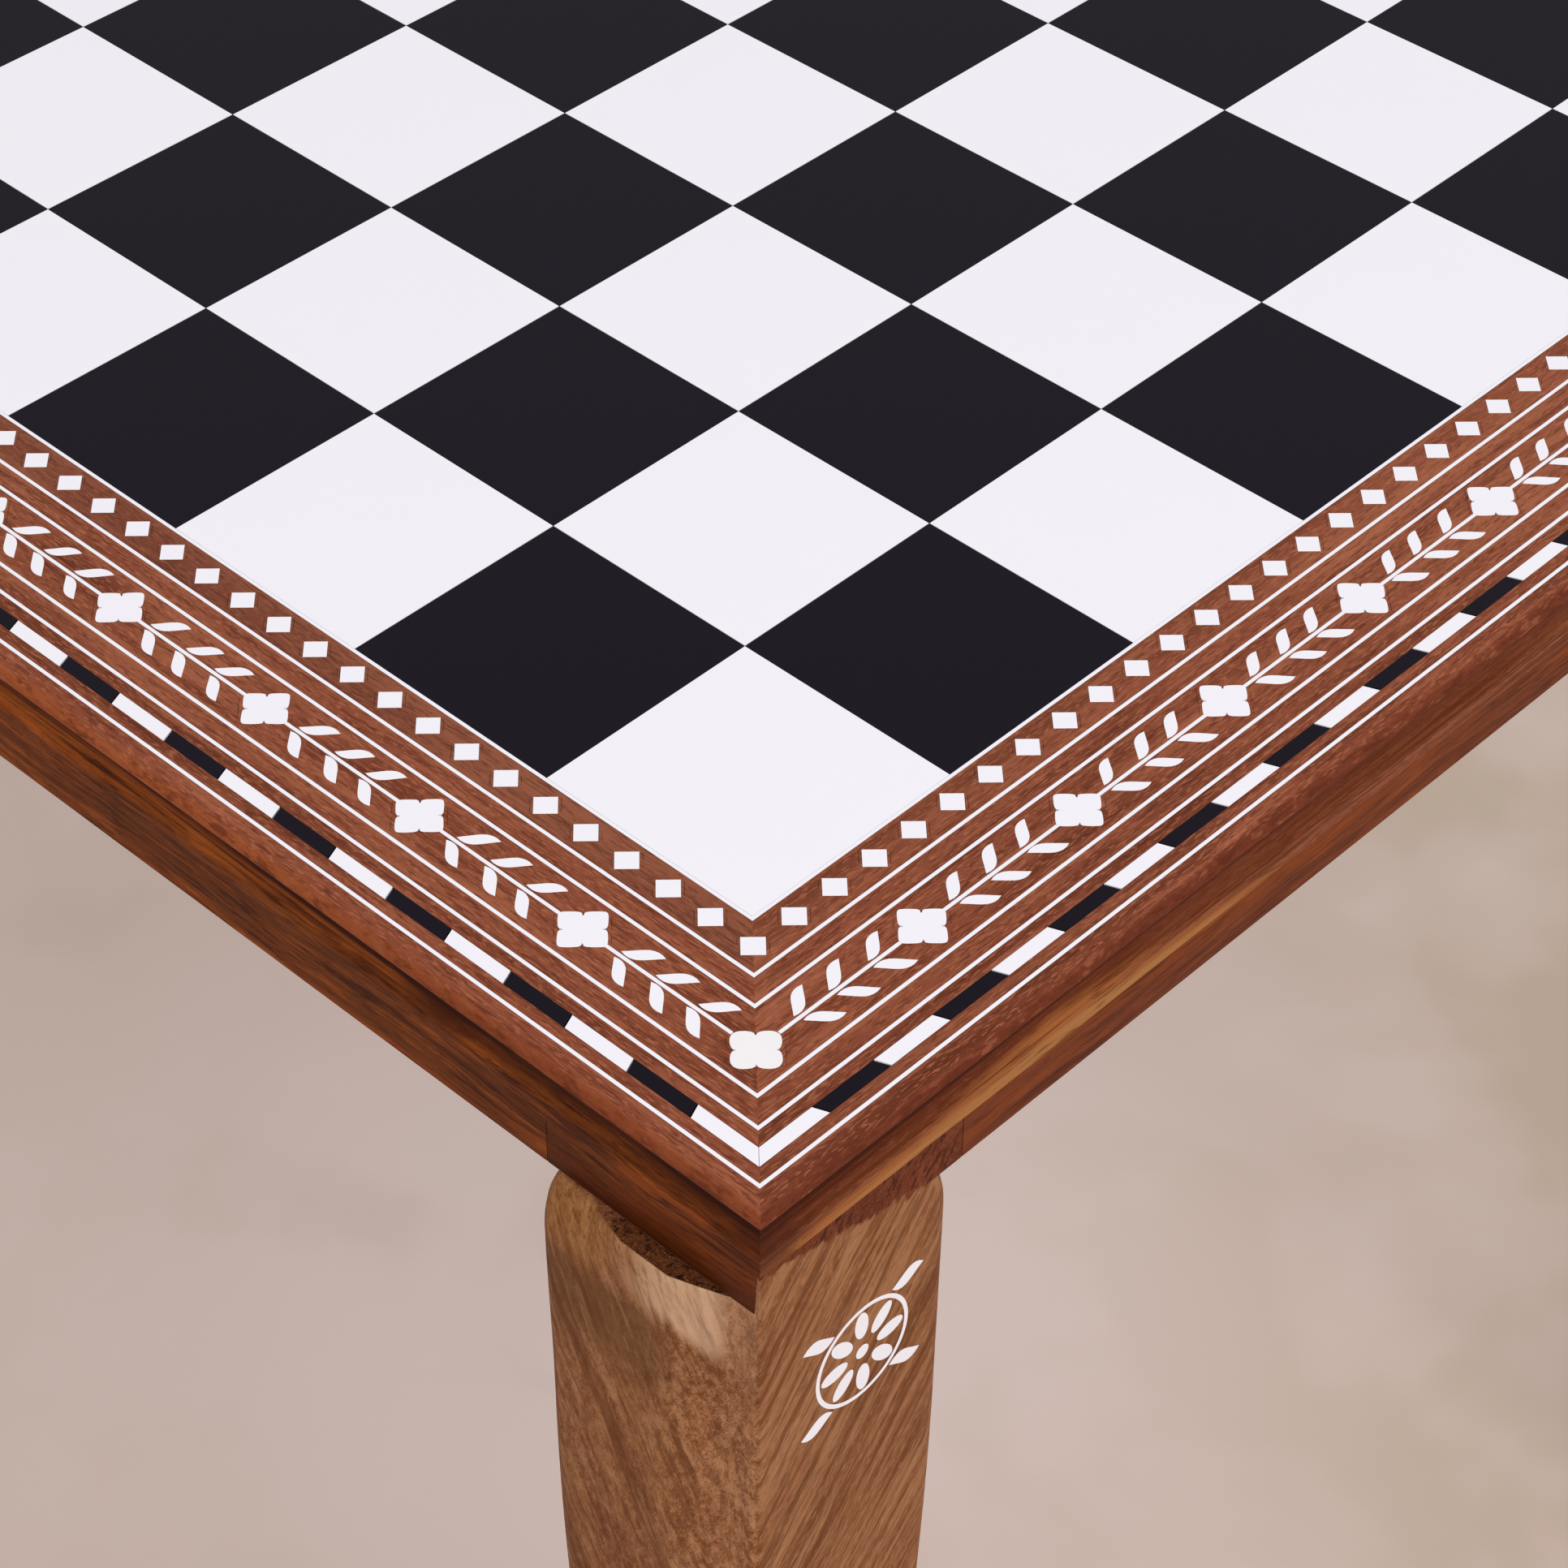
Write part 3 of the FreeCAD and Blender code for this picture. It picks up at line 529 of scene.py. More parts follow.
class Recipe:
    """One node material while it is put together."""

    def __init__(self, name):
        self.material = bpy.data.materials.new(name)
        self.material.use_nodes = True
        self.tree = self.material.node_tree
        self.tree.nodes.clear()
        self.place = self.node("ShaderNodeTexCoord", output="Object")

    def node(self, kind, settings=None, sockets=None, output=0):
        """Add a node: its settings first, then the values or links of its sockets."""
        node = self.tree.nodes.new(kind)
        for name, setting in (settings or {}).items():
            setattr(node, name, setting)
        for name, given in (sockets or {}).items():
            if isinstance(given, Field):
                self.tree.links.new(given.socket, node.inputs[name])
            else:
                node.inputs[name].default_value = given
        return Field(self, node.outputs[output]) if node.outputs else None

    def maths(self, operation, *values):
        """One Math node."""
        return self.node("ShaderNodeMath", {"operation": operation}, dict(enumerate(values)))

    def vectors(self, operation, sockets, output=0):
        """One Vector Math node."""
        return self.node("ShaderNodeVectorMath", {"operation": operation}, sockets, output)

    def axis(self, name):
        """One coordinate of the place on the object, in metres."""
        return self.node("ShaderNodeSeparateXYZ", None, {0: self.place}, name)

    def mix(self, factor, first, second):
        """Mix of two colours."""
        sockets = {0: factor, 6: rgba(first), 7: rgba(second)}
        return self.node("ShaderNodeMix", {"data_type": "RGBA"}, sockets, 2)

    def coats(self, tone, *coats):
        """Tone under coats laid in turn, each given as (mask, strength, colour)."""
        for mask, strength, colour in coats:
            tone = self.mix(mask * strength, tone, colour)
        return tone

    def noise(self, place, detail, roughness, scale=1.0, output=0):
        """Noise of a scaled place, 0..1."""
        sockets = {"Vector": place, "Scale": scale, "Detail": detail, "Roughness": roughness}
        return self.node("ShaderNodeTexNoise", None, sockets, output)

    def streaks(self, direction, along, across, detail=3.0, roughness=0.6, place=None):
        """Noise drawn out along the grain g: of the place P * across + g * (P . g) * (along - across)."""
        grain, place = Vector(direction).normalized(), self.place if place is None else place
        run = self.vectors("DOT_PRODUCT", {0: place, 1: grain}, "Value")
        pull = self.vectors("SCALE", {0: grain, "Scale": run * (along - across)})
        spread = self.vectors("SCALE", {0: place, "Scale": across})
        return self.noise(self.vectors("ADD", {0: spread, 1: pull}), detail, roughness)

    def wandering(self, offset, scale, reach):
        """Place moved by a fixed step, so that pieces of one wood differ, and by a slow noise."""
        place = self.vectors("ADD", {0: self.place, 1: offset})
        drift = self.noise(place, 2.0, 0.5, scale, "Color")
        middle = self.vectors("SUBTRACT", {0: drift, 1: (0.5, 0.5, 0.5)})
        small = self.vectors("SCALE", {0: middle, "Scale": reach})
        return self.vectors("ADD", {0: place, 1: small})

    def finish(self, base, roughness, height=None, relief=0.00008, specular=0.08, sheen=0.0):
        """Close the material: colour, roughness and relief vary, all else is set on the shader itself."""
        sockets = {"Base Color": base, "Roughness": roughness, "Specular IOR Level": specular,
                   "Sheen Weight": sheen}
        if height is not None:
            bump = {"Height": height, "Distance": relief, "Strength": 1.0}
            sockets["Normal"] = self.node("ShaderNodeBump", None, bump)
        shader = self.node("ShaderNodeBsdfPrincipled", None, sockets)
        self.node("ShaderNodeOutputMaterial", None, {"Surface": shader})
        return self.material


def rgba(colour):
    """Plain colour as a socket value; a varying one stays as it is."""
    return colour if isinstance(colour, Field) else (*colour, 1.0)


def between(field, low, high):
    """0 below low, 1 above high, eased between; falls instead of rising where low is above high."""
    sockets = {"Value": field, "From Min": low, "From Max": high}
    return field.recipe.node("ShaderNodeMapRange", {"interpolation_type": "SMOOTHSTEP"}, sockets)


def zone(field, start, full, fade, gone):
    """1 from full to fade, 0 before start and past gone, eased between."""
    return between(field, start, full) * between(field, gone, fade)


# ---- finishes
def wood_fields(recipe, direction, tones, offset, wander=0.003):
    """Colour, relief and fibres of oiled sheesham.

    Slow clouds and bands run from the middle tone to the light and dark ones; over them lie fine
    streaks, short dark fibres and short light flecks where the pores are filled.
    """
    dark, middle, light = tones
    place = recipe.wandering(offset, 14.0, wander)
    clouds = recipe.streaks(direction, 9.0, 42.0, place=place)
    bands = recipe.streaks(direction, 2.2, 95.0, 3.0, 0.55, place)
    streaks = recipe.streaks(direction, 26.0, 620.0, place=place)
    fibres = recipe.streaks(direction, 230.0, 2100.0, 2.0, 0.55, place)
    flecks = recipe.streaks(direction, 420.0, 3000.0, 1.0, 0.4, place)
    tone = recipe.coats(
        middle,
        (between(clouds, 0.50, 0.70), 0.55, light), (between(clouds, 0.48, 0.30), 0.60, dark),
        (between(bands, 0.52, 0.66), 0.45, light), (between(bands, 0.44, 0.32), 0.50, dark),
        (between(streaks, 0.49, 0.34), 0.50, dark), (between(streaks, 0.52, 0.66), 0.40, light),
        (between(fibres, 0.49, 0.34), 0.60, dark), (between(flecks, 0.55, 0.66), 0.60, light))
    return tone, fibres * 0.7 + streaks * 0.3, fibres


def strong_figure(recipe, where, along, tone, body, finish):
    """Tone with strong figure along the grain: plain body, orange bands, bright and nearly black streaks."""
    place = recipe.wandering((0.7, 0.3, 0.5), 22.0, 0.005)
    broad = recipe.streaks(along, 5.0, 150.0, place=place)
    narrow = recipe.streaks(along, 32.0, 560.0, 4.0, 0.7, place)
    hair = recipe.streaks(along, 110.0, 1250.0, place=place)
    return recipe.coats(
        tone, (where, 0.85, body),
        (where * between(broad, 0.48, 0.58), 0.85, finish.amber),
        (where * between(narrow, 0.53, 0.65), 0.65, finish.flame),
        (where * between(broad, 0.45, 0.36), 0.50, finish.end_grain),
        (where * between(narrow, 0.48, 0.36), 0.75, finish.end_grain),
        (where * between(hair, 0.48, 0.37), 0.50, finish.end_grain))


def plain_wood(name, direction, tones, offset):
    """Plain oiled wood with its grain in one direction."""
    recipe = Recipe(name)
    tone, height, fibres = wood_fields(recipe, direction, tones, offset)
    return recipe.finish(tone, 0.45 + fibres * 0.2, height)


def apron_wood(side, tones, offset, finish):
    """Apron wood with strong figure, darker on the left and right."""
    recipe = Recipe("apron_wood_" + side)
    tone, height, fibres = wood_fields(recipe, GRAIN[side], tones, offset)
    share, body = (1.0, finish.umber) if side in ("left", "right") else (0.6, finish.apron)
    tone = strong_figure(recipe, share, GRAIN[side], tone, body, finish)
    return recipe.finish(tone, 0.45 + fibres * 0.2, height)


def glue_lines(recipe, side, tone, marks, vine):
    """Tone with short dark glue lines a little way off two opposite sides of every diamond and flower.

    Along the row the place is wrapped to the nearest shape's middle; shapes stand on their corners, so the
    distances across and along a line are (run + off) / sqrt 2 and (run - off) / sqrt 2.
    """
    along, out = ("X", "Y") if side in ("front", "back") else ("Y", "X")
    sign = -1.0 if side in ("front", "left") else 1.0
    slant = math.sqrt(0.5)
    broken = between(recipe.noise(recipe.place, 2.0, 0.5, 350.0), 0.40, 0.52)
    rows = ((marks.diamond_offset, marks.diamonds, marks.diamond_half),
            (vine.offset, vine.flowers, marks.flower_half))
    for offset, count, half in rows:
        reach = BOARD_HALF + offset
        pitch = 2 * reach / count
        run = recipe.maths("WRAP", recipe.axis(along), pitch, 0.0) - pitch / 2
        off = recipe.axis(out) * sign - reach
        across, down = abs(run + off) * slant, abs(run - off) * slant
        line = between(abs(across - (half + marks.gap)), marks.width, marks.width * 0.4)
        line = line * between(down, half * 0.95, half * 0.75) * broken
        tone = recipe.coats(tone, (line, 0.60, marks.tint))
    return tone


def sapwood_edge(recipe, along, tone, finish, fields):
    """Tone of the edge on the front and back: golden sapwood below, dark streaks and, above them, a painted
    shadow line under the rolled lip.
    """
    drop, wavy, patches, streak, fine, from_corner, cove_shade_and_streaks, band = fields
    hair = recipe.streaks(along, 60.0, 1100.0, place=recipe.wandering((0.4, 0.8, 0.1), 25.0, 0.004))
    threads = recipe.streaks(along, 14.0, 1500.0, 2.0, 0.5)
    arrow = abs(from_corner - 0.078) * 0.062
    level = drop + (streak - 0.5) * 0.006 + (patches - 0.5) * 0.0015 - arrow
    gold = between(level, 0.0088, 0.0110) * between(from_corner, 0.158, 0.122)
    streaky = drop + (streak - 0.5) * 0.010 + from_corner * 0.020
    wave = zone(streaky, 0.0062, 0.0074, 0.0086, 0.0104) * between(from_corner, 0.170, 0.110)
    # painted shadow: a dark line just under the rolled lip, broken in patches
    shadow_line = zone(wavy, 0.0052, 0.0057, 0.0062, 0.0074)
    return recipe.coats(
        tone, (band, 0.35, finish.umber), (gold, 0.88, finish.sapwood),
        (between(level, 0.0108, 0.0136) * gold, 0.90, finish.sapwood_low),
        (gold * between(fine, 0.50, 0.38), 0.45, finish.olive),
        ((cove_shade_and_streaks + band) * between(hair, 0.47, 0.36), 0.50, finish.cove_shade_and_streaks),
        (band * between(threads, 0.42, 0.34), 0.75, finish.rail_dark),
        (wave, 0.70, finish.end_grain),
        (shadow_line, between(patches, 0.56, 0.44) * 0.6 + 0.3, finish.end_grain))


def heartwood_edge(recipe, along, tone, finish, fields, knot):
    """Tone of the edge on the left and right: dark streaked heartwood that glows away from the corners."""
    drop, wavy, patches, rough, fine, from_corner, lip = fields
    tone = recipe.coats(tone, (lip * between(from_corner, 0.140, 0.060), 0.45, finish.worn_edge))
    below = between(wavy, 0.0062, 0.0080)
    tone = strong_figure(recipe, below, along, tone, finish.umber, finish)
    glow = zone(wavy, 0.0070, 0.0080, 0.0095, 0.0125) * between(from_corner, 0.060, 0.110)
    tone = recipe.coats(tone, (glow * between(fine, 0.42, 0.58), 0.65, finish.flame))
    if knot:
        run, down = (recipe.axis("Y") + 0.189) * 0.45, drop - 0.0085
        around = recipe.maths("SQRT", run * run + down * down) + (rough - 0.5) * 0.006
        tone = recipe.coats(tone, (between(around, 0.0060, 0.0015) * below, 0.65, finish.end_grain))
    # painted shadow: a dark line just under the rolled lip, broken in patches
    shadow_line = zone(wavy, 0.0050, 0.0056, 0.0074, 0.0092)
    return recipe.coats(tone, (shadow_line, between(patches, 0.60, 0.46) * 0.45 + 0.5, finish.end_grain))


def rail_wood(side, finish, marks, vine):
    """Border wood: top as oiled, rolled edge redder and rough, a painted shadow line under it, cove darkened
    as painted shade, lower band streaked.

    Zones of the edge are metres below the top: lip, cove and band. On the front and back the band carries
    pale sapwood, on the left and right dark heartwood, with a knot on the left.
    """
    recipe = Recipe("rail_wood_" + side)
    long_side, along = side in ("front", "back"), GRAIN[side]
    tones = (finish.rail_dark, finish.rail_mid, finish.rail_light)
    tone, height, fibres = wood_fields(recipe, along, tones, RAIL_OFFSETS[side])
    rough = recipe.streaks(along, 180.0, 520.0, 4.0, 0.65)
    patches = recipe.streaks(along, 30.0, 120.0)
    streak = recipe.streaks(along, 2.5, 230.0, 4.0, 0.6)
    fine = recipe.streaks(along, 14.0, 900.0, 3.0, 0.65)
    x, y, drop = abs(recipe.axis("X")), abs(recipe.axis("Y")), TOP - recipe.axis("Z")
    run, out = (x, y) if long_side else (y, x)
    from_corner = TOP_HALF - run
    wavy = drop + (patches - 0.5) * 0.0016
    lip = zone(wavy, 0.0001, 0.0014, 0.0050, 0.0062)
    cove_shade_and_streaks = zone(wavy, 0.0050, 0.0064, 0.0100, 0.0125)
    band = between(wavy, 0.0098, 0.0116)
    inner = between(out, BOARD_HALF + 0.0107, BOARD_HALF + 0.0103)
    strip, edge = (inner, 0.33, finish.inner_dark), (lip, 0.65, finish.round_edge)
    if long_side:
        strip, edge = (inner, 0.12, finish.rail_light), (lip, 0.80, finish.worn_edge)
    tone = recipe.coats(
        tone, strip, edge,
        (lip * between(rough, 0.50, 0.36), 0.65, finish.rail_dark),
        (lip * between(rough, 0.54, 0.68), 0.45, finish.rail_light),
        # painted shade: the hollow below the lip is darkened towards the cove colour
        (cove_shade_and_streaks, 0.70, finish.cove_shade_and_streaks),
        ((cove_shade_and_streaks + band) * between(fine, 0.50, 0.36), 0.6, finish.cove_shade_and_streaks))
    if long_side:
        fields = (drop, wavy, patches, streak, fine, from_corner, cove_shade_and_streaks, band)
        tone = sapwood_edge(recipe, along, tone, finish, fields)
    else:
        fields = (drop, wavy, patches, rough, fine, from_corner, lip)
        tone = heartwood_edge(recipe, along, tone, finish, fields, side == "left")
    # darker towards each corner of the top, in the hollow below the lip
    corner = x + y + (rough - 0.5) * 0.02
    corner_darkening = between(corner, 2 * TOP_HALF - 0.016, 2 * TOP_HALF - 0.004) * between(drop, 0.004, 0.010)
    tone = recipe.coats(tone, (corner_darkening, 0.55, finish.end_grain))
    tone = glue_lines(recipe, side, tone, marks, vine)
    return recipe.finish(tone, 0.45 + fibres * 0.2 + lip * 0.1, height + lip * rough * 3.0)


def leg_wood(finish):
    """Leg wood with its grain rising askew across the flat face; the post above is darker, grain level.

    Inside is the depth in from the flat face, rise the height over the apron's lower edge. The post's dark
    wood ends level on the swelling side; on the flat side its lower edge rises towards the outer corner,
    ragged along the grain.
    """
    recipe = Recipe("leg_wood")
    askew, steeply = (0.60, 0.05, 0.78), (0, 0.40, 1.0)
    tones = (finish.leg_dark, finish.leg_mid, finish.leg_light)
    dark, light = finish.leg_dark, finish.leg_light
    x, rise = abs(recipe.axis("X")), recipe.axis("Z") - APRON_BOTTOM
    inside = POST_OUTER - abs(recipe.axis("Y"))
    tone, height, fibres = wood_fields(recipe, askew, tones, (0.2, 0.4, 0.1), 0.008)
    lines = recipe.streaks(askew, 9.0, 560.0, 4.0, 0.6, recipe.wandering((0.3, 0.2, 0.9), 20.0, 0.004))
    steep = recipe.streaks(steeply, 12.0, 210.0, 4.0, 0.65, recipe.wandering((0.5, 0.1, 0.7), 30.0, 0.008))
    belt = recipe.streaks(steeply, 5.0, 62.0, 2.0, 0.5, recipe.wandering((0.8, 0.6, 0.1), 30.0, 0.008))
    strands = recipe.streaks(steeply, 45.0, 620.0, 4.0, 0.7, recipe.wandering((0.1, 0.6, 0.4), 30.0, 0.006))
    torn = recipe.streaks((0, 0.7, 1.0), 260.0, 900.0)
    specks = recipe.streaks((0.5, 0, 1.0), 300.0, 900.0)
    flat = between(inside, 0.0012, 0.0004)
    swelling = between(x, POST_OUTER - 0.0006, POST_OUTER + 0.0020)
    shade = swelling * between(inside, 0.008, 0.030)
    below = (steep - 0.5) * 0.016 - rise
    far = between(inside, 0.030, 0.038)
    upper = swelling * between(below, 0.0160, 0.0105)
    slanting = below + (inside - 0.020) * 0.45
    pale = swelling * between(slanting, 0.0150, 0.0095) * between(inside, 0.033, 0.020)
    heart = swelling * zone(below, 0.0115, 0.0165, 0.0260, 0.0420) * between(inside, 0.012, 0.026)
    streaked = swelling * (1 - pale * 0.55)
    crown = zone(rise, -0.014, -0.004, 0.0, 0.0004) * shade
    tone = recipe.coats(
        tone,
        (between(lines, 0.48, 0.36), 0.55, dark), (between(lines, 0.53, 0.65), 0.50, light),
        (flat, between(lines, 0.51, 0.40) * 0.25 + 0.24, dark),
        (shade * between(belt, 0.52, 0.40), 0.60, dark),
        (shade * between(belt, 0.56, 0.68), 0.25, finish.ochre),
        (shade, 0.22, dark), (heart, 0.65, finish.leg_heart), (upper * far, 0.25, finish.ochre),
        (upper * (1 - far), 0.12, finish.leg_pale), (pale, 0.90, finish.leg_pale),
        (streaked * between(steep, 0.52, 0.38), 0.60, dark),
        (streaked * between(strands, 0.49, 0.37), 0.60, dark),
        (streaked * between(strands, 0.54, 0.66), 0.30, light),
        (crown, 0.30, finish.ochre), (crown * between(torn, 0.50, 0.36), 0.50, finish.cove_shade_and_streaks))
    post_tones = (finish.rail_dark, finish.apron, finish.rail_mid)
    post_tone, *_ = wood_fields(recipe, LEVEL_Y, post_tones, (0.9, 0.2, 0.3))
    side_tone = strong_figure(recipe, 0.95, LEVEL_Y, post_tone, finish.umber, finish)
    # Painted shade: the post's side faces darken towards their foot, in the crease just above the knee's
    # ledge
    side_tone = recipe.coats(side_tone, (between(rise, 0.011, 0.002), 0.72, finish.end_grain))
    front_tone = recipe.coats(post_tone, (between(specks, 0.50, 0.38), 0.7, finish.end_grain))
    ragged = recipe.streaks(askew, 60.0, 520.0)
    slope = (x - (POST_OUTER - POST_WIDTH * 0.8)) * 0.24 + (ragged - 0.5) * 0.007
    over = rise - flat * slope
    above = between(over, -0.0002, 0.0002) * (1 - flat) + flat * between(over, -0.0006, 0.0006)
    tone = recipe.mix(above, tone, recipe.mix(flat, side_tone, front_tone))
    return recipe.finish(tone, 0.48 + fibres * 0.2, height, 0.0001)


def end_grain(finish):
    """Dark rough end grain with lighter torn flecks, brighter at the inner end of the ledge."""
    recipe = Recipe("end_grain")
    coarse = recipe.noise(recipe.place, 3.0, 0.6, 700.0)
    flecks = between(recipe.noise(recipe.place, 2.0, 0.6, 1500.0), 0.50, 0.66)
    inside = POST_OUTER - abs(recipe.axis("Y")) + (coarse - 0.5) * 0.012
    bright = recipe.mix(between(coarse, 0.35, 0.65), finish.rail_mid, finish.leg_mid)
    tone = recipe.mix(between(coarse, 0.34, 0.58), finish.end_grain, finish.leg_dark)
    tone = recipe.coats(tone, (flecks, 0.75, finish.leg_mid), (between(inside, 0.033, 0.039), 1.0, bright))
    return recipe.finish(tone, 0.8, coarse + flecks * 0.5, 0.0008, 0.1)


def resin(name, base, second=None):
    """Polished resin: faint clouds and fine scratches; the second colour shows in the border's corners."""
    recipe = Recipe(name)
    clouds = recipe.noise(recipe.place, 3.0, 0.5, 60.0)
    scratches = recipe.streaks((1, 0.3, 0), 40.0, 2600.0, 2.0, 0.5)
    tone = recipe.mix(clouds * 0.10, base, [0.9 * share for share in base])
    if second is not None:
        x, y = (between(abs(recipe.axis(along)), BOARD_HALF + 0.010, BOARD_HALF + 0.012) for along in "XY")
        tone = recipe.mix(x * y, tone, second)
    return recipe.finish(tone, 0.42 + scratches * 0.12, scratches + clouds, 0.00001, 0.10)


def dress(node, material):
    """Give every slot of a packed node one material."""
    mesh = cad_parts[node].data
    mesh.materials.clear()
    mesh.materials.append(material)


# ---- operators
class TABLE_OT_border(bpy.types.Operator):
    """Finish the four border rails."""

    bl_idname = "table.border"
    bl_label = "Border rails"

    def execute(self, context):
        scene = context.scene
        for side in SIDES:
            wood = rail_wood(side, scene.table_finish, scene.table_marks, scene.table_vine)
            dress("border_rail_" + side, wood)
        return {"FINISHED"}


class TABLE_OT_board(bpy.types.Operator):
    """Finish the squares and the panel that carries them."""

    bl_idname = "table.board"
    bl_label = "Board"

    def execute(self, context):
        finish = context.scene.table_finish
        dress("white_squares", resin("white_square_resin", finish.white))
        dress("black_squares", resin("black_square_resin", finish.black))
        dress("board_panel", plain_wood("plywood", LEVEL_X, (finish.ply,) * 3, (0, 0, 0)))
        return {"FINISHED"}


class TABLE_OT_inlay(bpy.types.Operator):
    """Finish the lines, diamonds, flowers, stems and dashes."""

    bl_idname = "table.inlay"
    bl_label = "Inlay"

    def execute(self, context):
        finish = context.scene.table_finish
        plain = resin("white_line_resin", finish.white)
        lines = ["inlay_line_%d" % number for number in range(1, 6)]
        for node in ["board_edge_line", "inlay_diamonds", "vine_stems", "white_dashes"] + lines:
            dress(node, plain)
        dress("black_dashes", resin("black_inlay_resin", finish.black))
        return {"FINISHED"}


class TABLE_OT_leaves(bpy.types.Operator):
    """Inlay the vine's leaves and flowers on all four sides."""

    bl_idname = "table.leaves"
    bl_label = "Vine leaves and flowers"

    def execute(self, context):
        vine, finish = context.scene.table_vine, context.scene.table_finish
        material = resin("leaf_resin", finish.white)
        levels = (TOP - vine.depth, TOP + vine.proud)
        petals = []
        for quarter, side in enumerate(SIDES):
            leaves, flowers = (turned(shapes, quarter * math.pi / 2)
                               for shapes in (vine_leaves(vine), flower_outlines(vine)))
            closed_mesh("vine_leaves_" + side, *plates(leaves, *levels), "white_inlay", [material])
            petals.append(plates(flowers, *levels))
        cream = resin("flower_resin", finish.white, finish.cream)
        piece = closed_mesh("flowers", *joined(petals), "white_inlay", [cream])
        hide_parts("vine_flowers")
        return {"FINISHED"}


class TABLE_OT_legs(bpy.types.Operator):
    """Carve the four legs."""

    bl_idname = "table.legs"
    bl_label = "Legs"

    def execute(self, context):
        leg, finish = context.scene.table_leg, context.scene.table_finish
        materials = [leg_wood(finish), end_grain(finish)]
        shells = []
        for points in leg_shells(leg):
            rings, corners = points.shape[:2]
            caps = [list(range(corners)), list(range((rings - 1) * corners, rings * corners))]
            shells.append((points.reshape(-1, 3), caps + ring_faces(rings, corners)))
        points, faces = joined(shells)
        ledge = 1
        for corner, (across, along) in CORNERS.items():
            mirrored = points * (-across, -along, 1)
            piece = closed_mesh("carved_leg_" + corner, mirrored, faces, "leg_wood", materials)
            piece.data.polygons[ledge].material_index = 1
            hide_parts("leg_" + corner)
        return {"FINISHED"}


class TABLE_OT_medallions(bpy.types.Operator):
    """Inlay a round flower in the flat face of each leg."""

    bl_idname = "table.medallions"
    bl_label = "Medallions"

    def execute(self, context):
        medallion = context.scene.table_medallion
        material = resin("medallion_resin", context.scene.table_finish.white)
        inside = plates(medallion_plates(medallion), -medallion.depth, medallion.proud)
        flat, faces = joined([medallion_ring(medallion), inside])
        middle_x = medallion.across - POST_OUTER
        middle_z = APRON_BOTTOM - medallion.drop
        upright = np.stack([flat[:, 0] + middle_x, -POST_OUTER - flat[:, 2], flat[:, 1] + middle_z], axis=-1)
        for corner, (across, along) in CORNERS.items():
            mirrored = upright * (-across, -along, 1)
            closed_mesh("medallion_" + corner, mirrored, faces, "white_inlay", [material])
        return {"FINISHED"}


class TABLE_OT_underframe(bpy.types.Operator):
    """Finish the aprons, corner braces, mitre splines and foot glides."""

    bl_idname = "table.underframe"
    bl_label = "Aprons and underframe"

    def execute(self, context):
        finish = context.scene.table_finish
        tones = (finish.rail_dark, finish.apron, finish.rail_mid)
        for number, side in enumerate(SIDES):
            dress("apron_" + side, apron_wood(side, tones, (0.7 * number, 0.3, 0.9), finish))
        tones = (finish.leg_mid, finish.ply, finish.ply)
        brace = plain_wood("brace_wood", (1, -1, 0), tones, (0.1, 0.2, 0.3))
        for corner in CORNERS:
            dress("corner_brace_" + corner, brace)
        dress("mitre_splines", brace)
        recipe = Recipe("felt")
        nap = recipe.noise(recipe.place, 4.0, 0.7, 1800.0)
        tone = recipe.mix(nap, finish.felt, [1.6 * share for share in finish.felt])
        felt = recipe.finish(tone, 0.95, nap, 0.0004, 0.1, 0.3)
        for corner in CORNERS:
            dress("foot_glide_" + corner, felt)
        return {"FINISHED"}


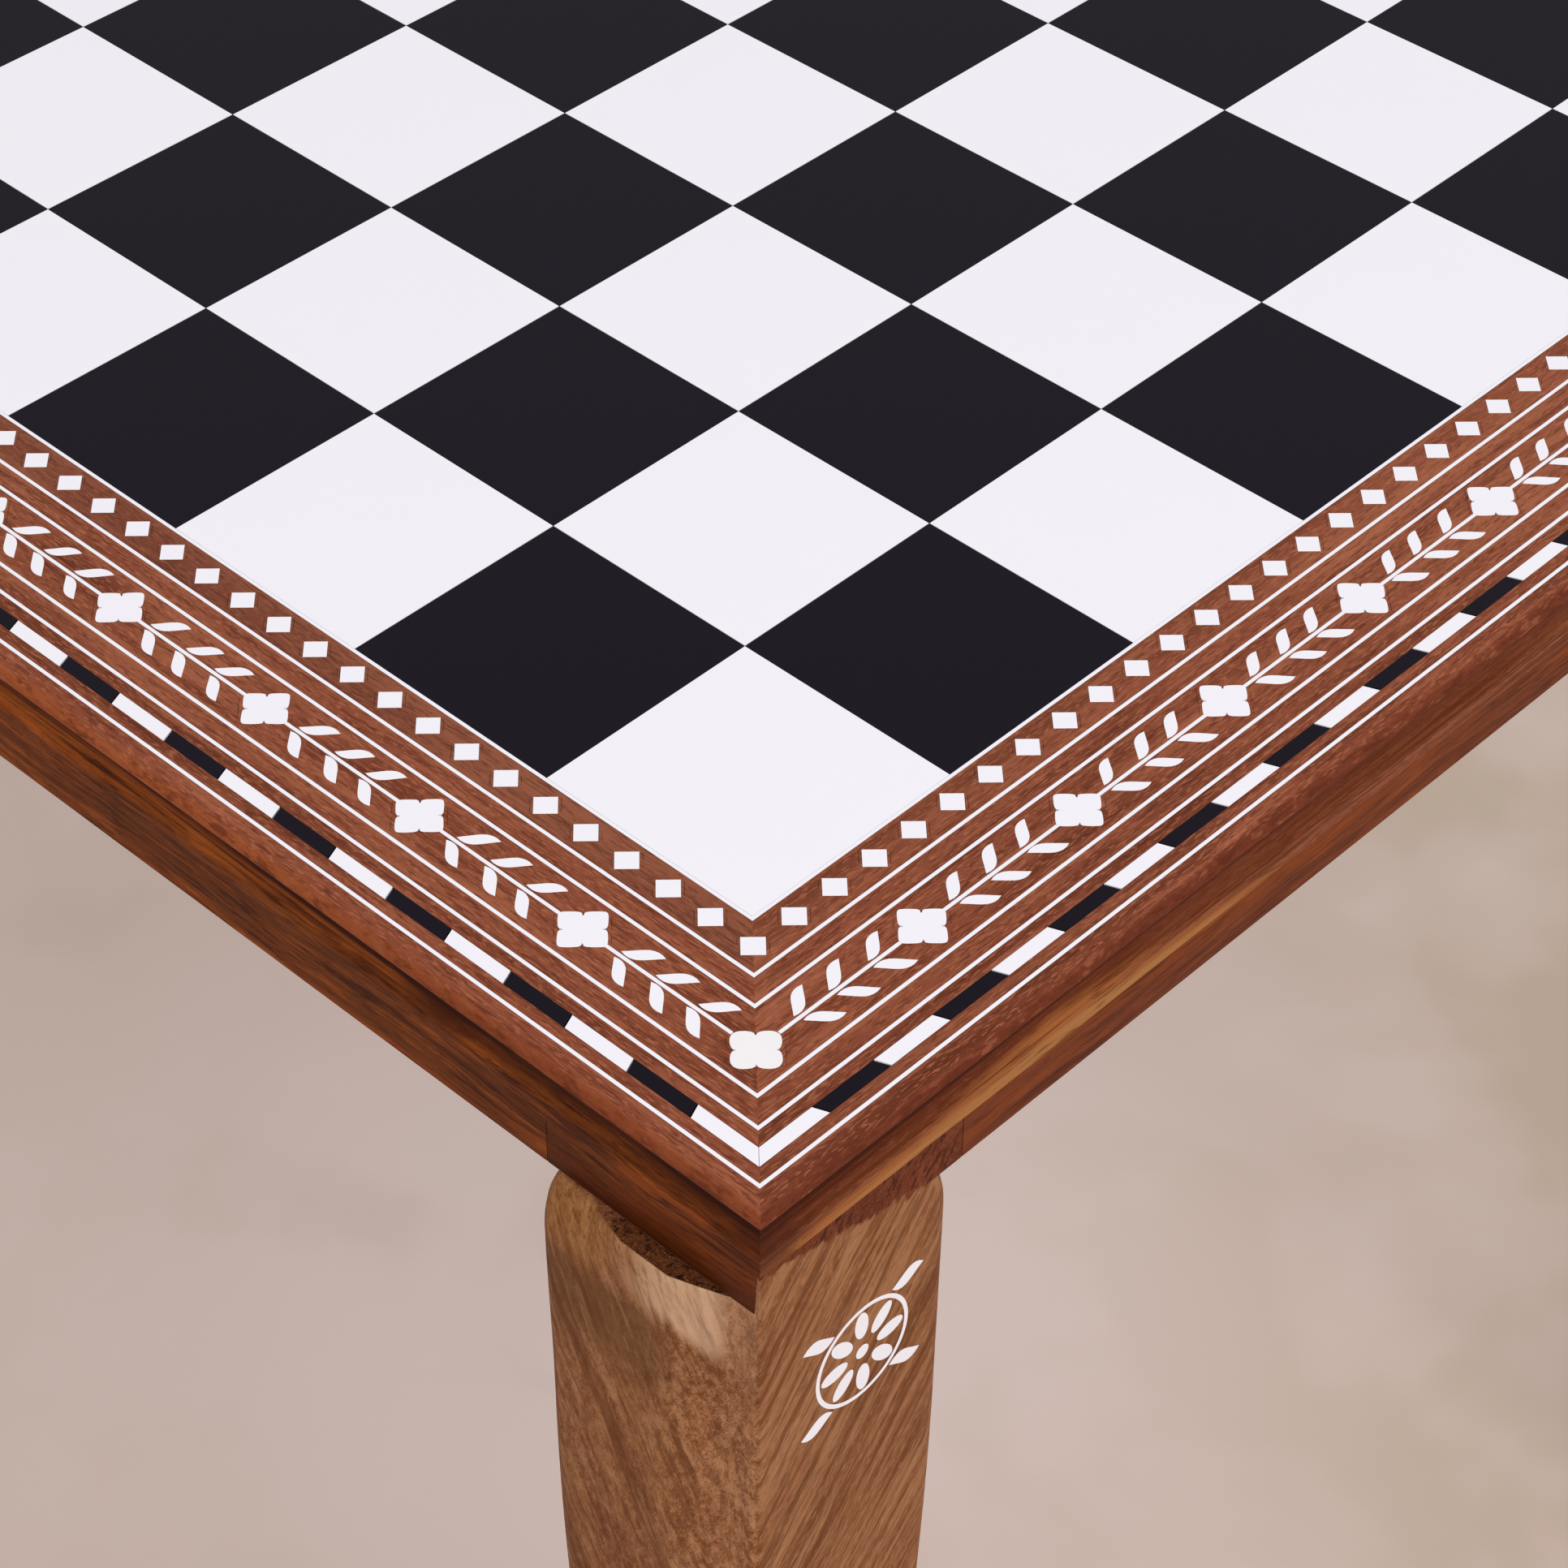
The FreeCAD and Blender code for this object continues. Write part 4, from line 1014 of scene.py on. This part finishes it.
class TABLE_OT_stage(bpy.types.Operator):
    """Lay the floor, hang the lamps and set up the camera."""

    bl_idname = "table.stage"
    bl_label = "Stage"

    def execute(self, context):
        scene, stage = context.scene, context.scene.table_stage
        scene.view_settings.view_transform = "Standard"
        half = stage.floor_half
        mesh = bpy.data.meshes.new("floor")
        corners = [(-half, -half, 0), (half, -half, 0), (half, half, 0), (-half, half, 0)]
        mesh.from_pydata(corners, [], [(0, 1, 2, 3)])
        recipe = Recipe("floor_paint")
        # Painted light: a soft round pool of lighter floor under the table stands in for a pool of light
        x, y = recipe.axis("X") - stage.light_pool_place[0], recipe.axis("Y") - stage.light_pool_place[1]
        away = recipe.maths("SQRT", x * x + y * y)
        clouds = recipe.noise(recipe.place, 2.0, 0.5, 3.2) * 0.10
        painted_light_pool = between(away + clouds, stage.light_pool_reach, 0.10)
        tone = recipe.mix(painted_light_pool, stage.floor, stage.floor_lit_pool_and_mottle)
        mottle = recipe.noise(recipe.place, 3.0, 0.55, 7.0)
        close = between(away, 1.10, 0.55)
        east = between(recipe.axis("X") - recipe.axis("Y"), 0.18, 0.48)
        beige = (between(mottle, 0.46, 0.62) * 0.6 + 0.3) * east * (1 - painted_light_pool)
        tone = recipe.coats(tone, (beige, close, stage.floor_beige),
                            (between(mottle, 0.50, 0.62) * close, 0.18, stage.floor_beige),
                            (between(mottle, 0.48, 0.36) * close, 0.25, stage.floor_lit_pool_and_mottle))
        mesh.materials.append(recipe.finish(tone, 0.9, specular=0.1))
        placed("floor", mesh)

        world = bpy.data.worlds.new("soft_sky")
        world.use_nodes = True
        sky = world.node_tree.nodes["Background"].inputs
        sky["Color"].default_value = (1, 1, 1, 1)
        sky["Strength"].default_value = stage.sky
        scene.world = world

        lamp = bpy.data.lights.new("key_lamp", "AREA")
        lamp.size = stage.key_size
        lamp.energy = stage.key_power
        key = placed("key_lamp", lamp)
        key.location = stage.key_place
        key.rotation_euler = (Vector((0, 0, TOP)) - key.location).to_track_quat("-Z", "Y").to_euler()

        lens = bpy.data.cameras.new("camera")
        lens.lens = stage.lens
        lens.sensor_width = stage.sensor
        lens.clip_start = 0.05
        camera = placed("camera", lens)
        aim = Vector(stage.camera_aim).to_track_quat("-Z", "Y").to_matrix()
        turn = aim @ Matrix.Rotation(stage.camera_roll, 3, "Z")
        camera.matrix_world = Matrix.Translation(stage.camera_place) @ turn.to_4x4()
        scene.camera = camera
        return {"FINISHED"}


OPERATORS = (
    TABLE_OT_border,
    TABLE_OT_board,
    TABLE_OT_inlay,
    TABLE_OT_leaves,
    TABLE_OT_legs,
    TABLE_OT_medallions,
    TABLE_OT_underframe,
    TABLE_OT_stage,
)


class TABLE_PT_panel(bpy.types.Panel):
    """Lists the table's pieces."""

    bl_idname = "TABLE_PT_panel"
    bl_label = "Chess table"
    bl_space_type = "VIEW_3D"
    bl_region_type = "UI"
    bl_category = "Chess table"

    def draw(self, context):
        for operator in OPERATORS:
            self.layout.operator(operator.bl_idname)
        for name, group in GROUPS.items():
            box = self.layout.box()
            box.label(text=group.__doc__)
            for prop in group.__annotations__:
                box.prop(getattr(context.scene, name), prop)


def register():
    for group in GROUPS.values():
        bpy.utils.register_class(group)
    for name, group in GROUPS.items():
        setattr(bpy.types.Scene, name, PointerProperty(type=group))
    for operator in OPERATORS:
        bpy.utils.register_class(operator)
    bpy.utils.register_class(TABLE_PT_panel)


def unregister():
    bpy.utils.unregister_class(TABLE_PT_panel)
    for operator in reversed(OPERATORS):
        bpy.utils.unregister_class(operator)
    for name, group in GROUPS.items():
        delattr(bpy.types.Scene, name)
        bpy.utils.unregister_class(group)


def main():
    register()
    for operator in OPERATORS:
        getattr(bpy.ops.table, operator.bl_idname.split(".")[1])()


if __name__ == "__main__":
    main()
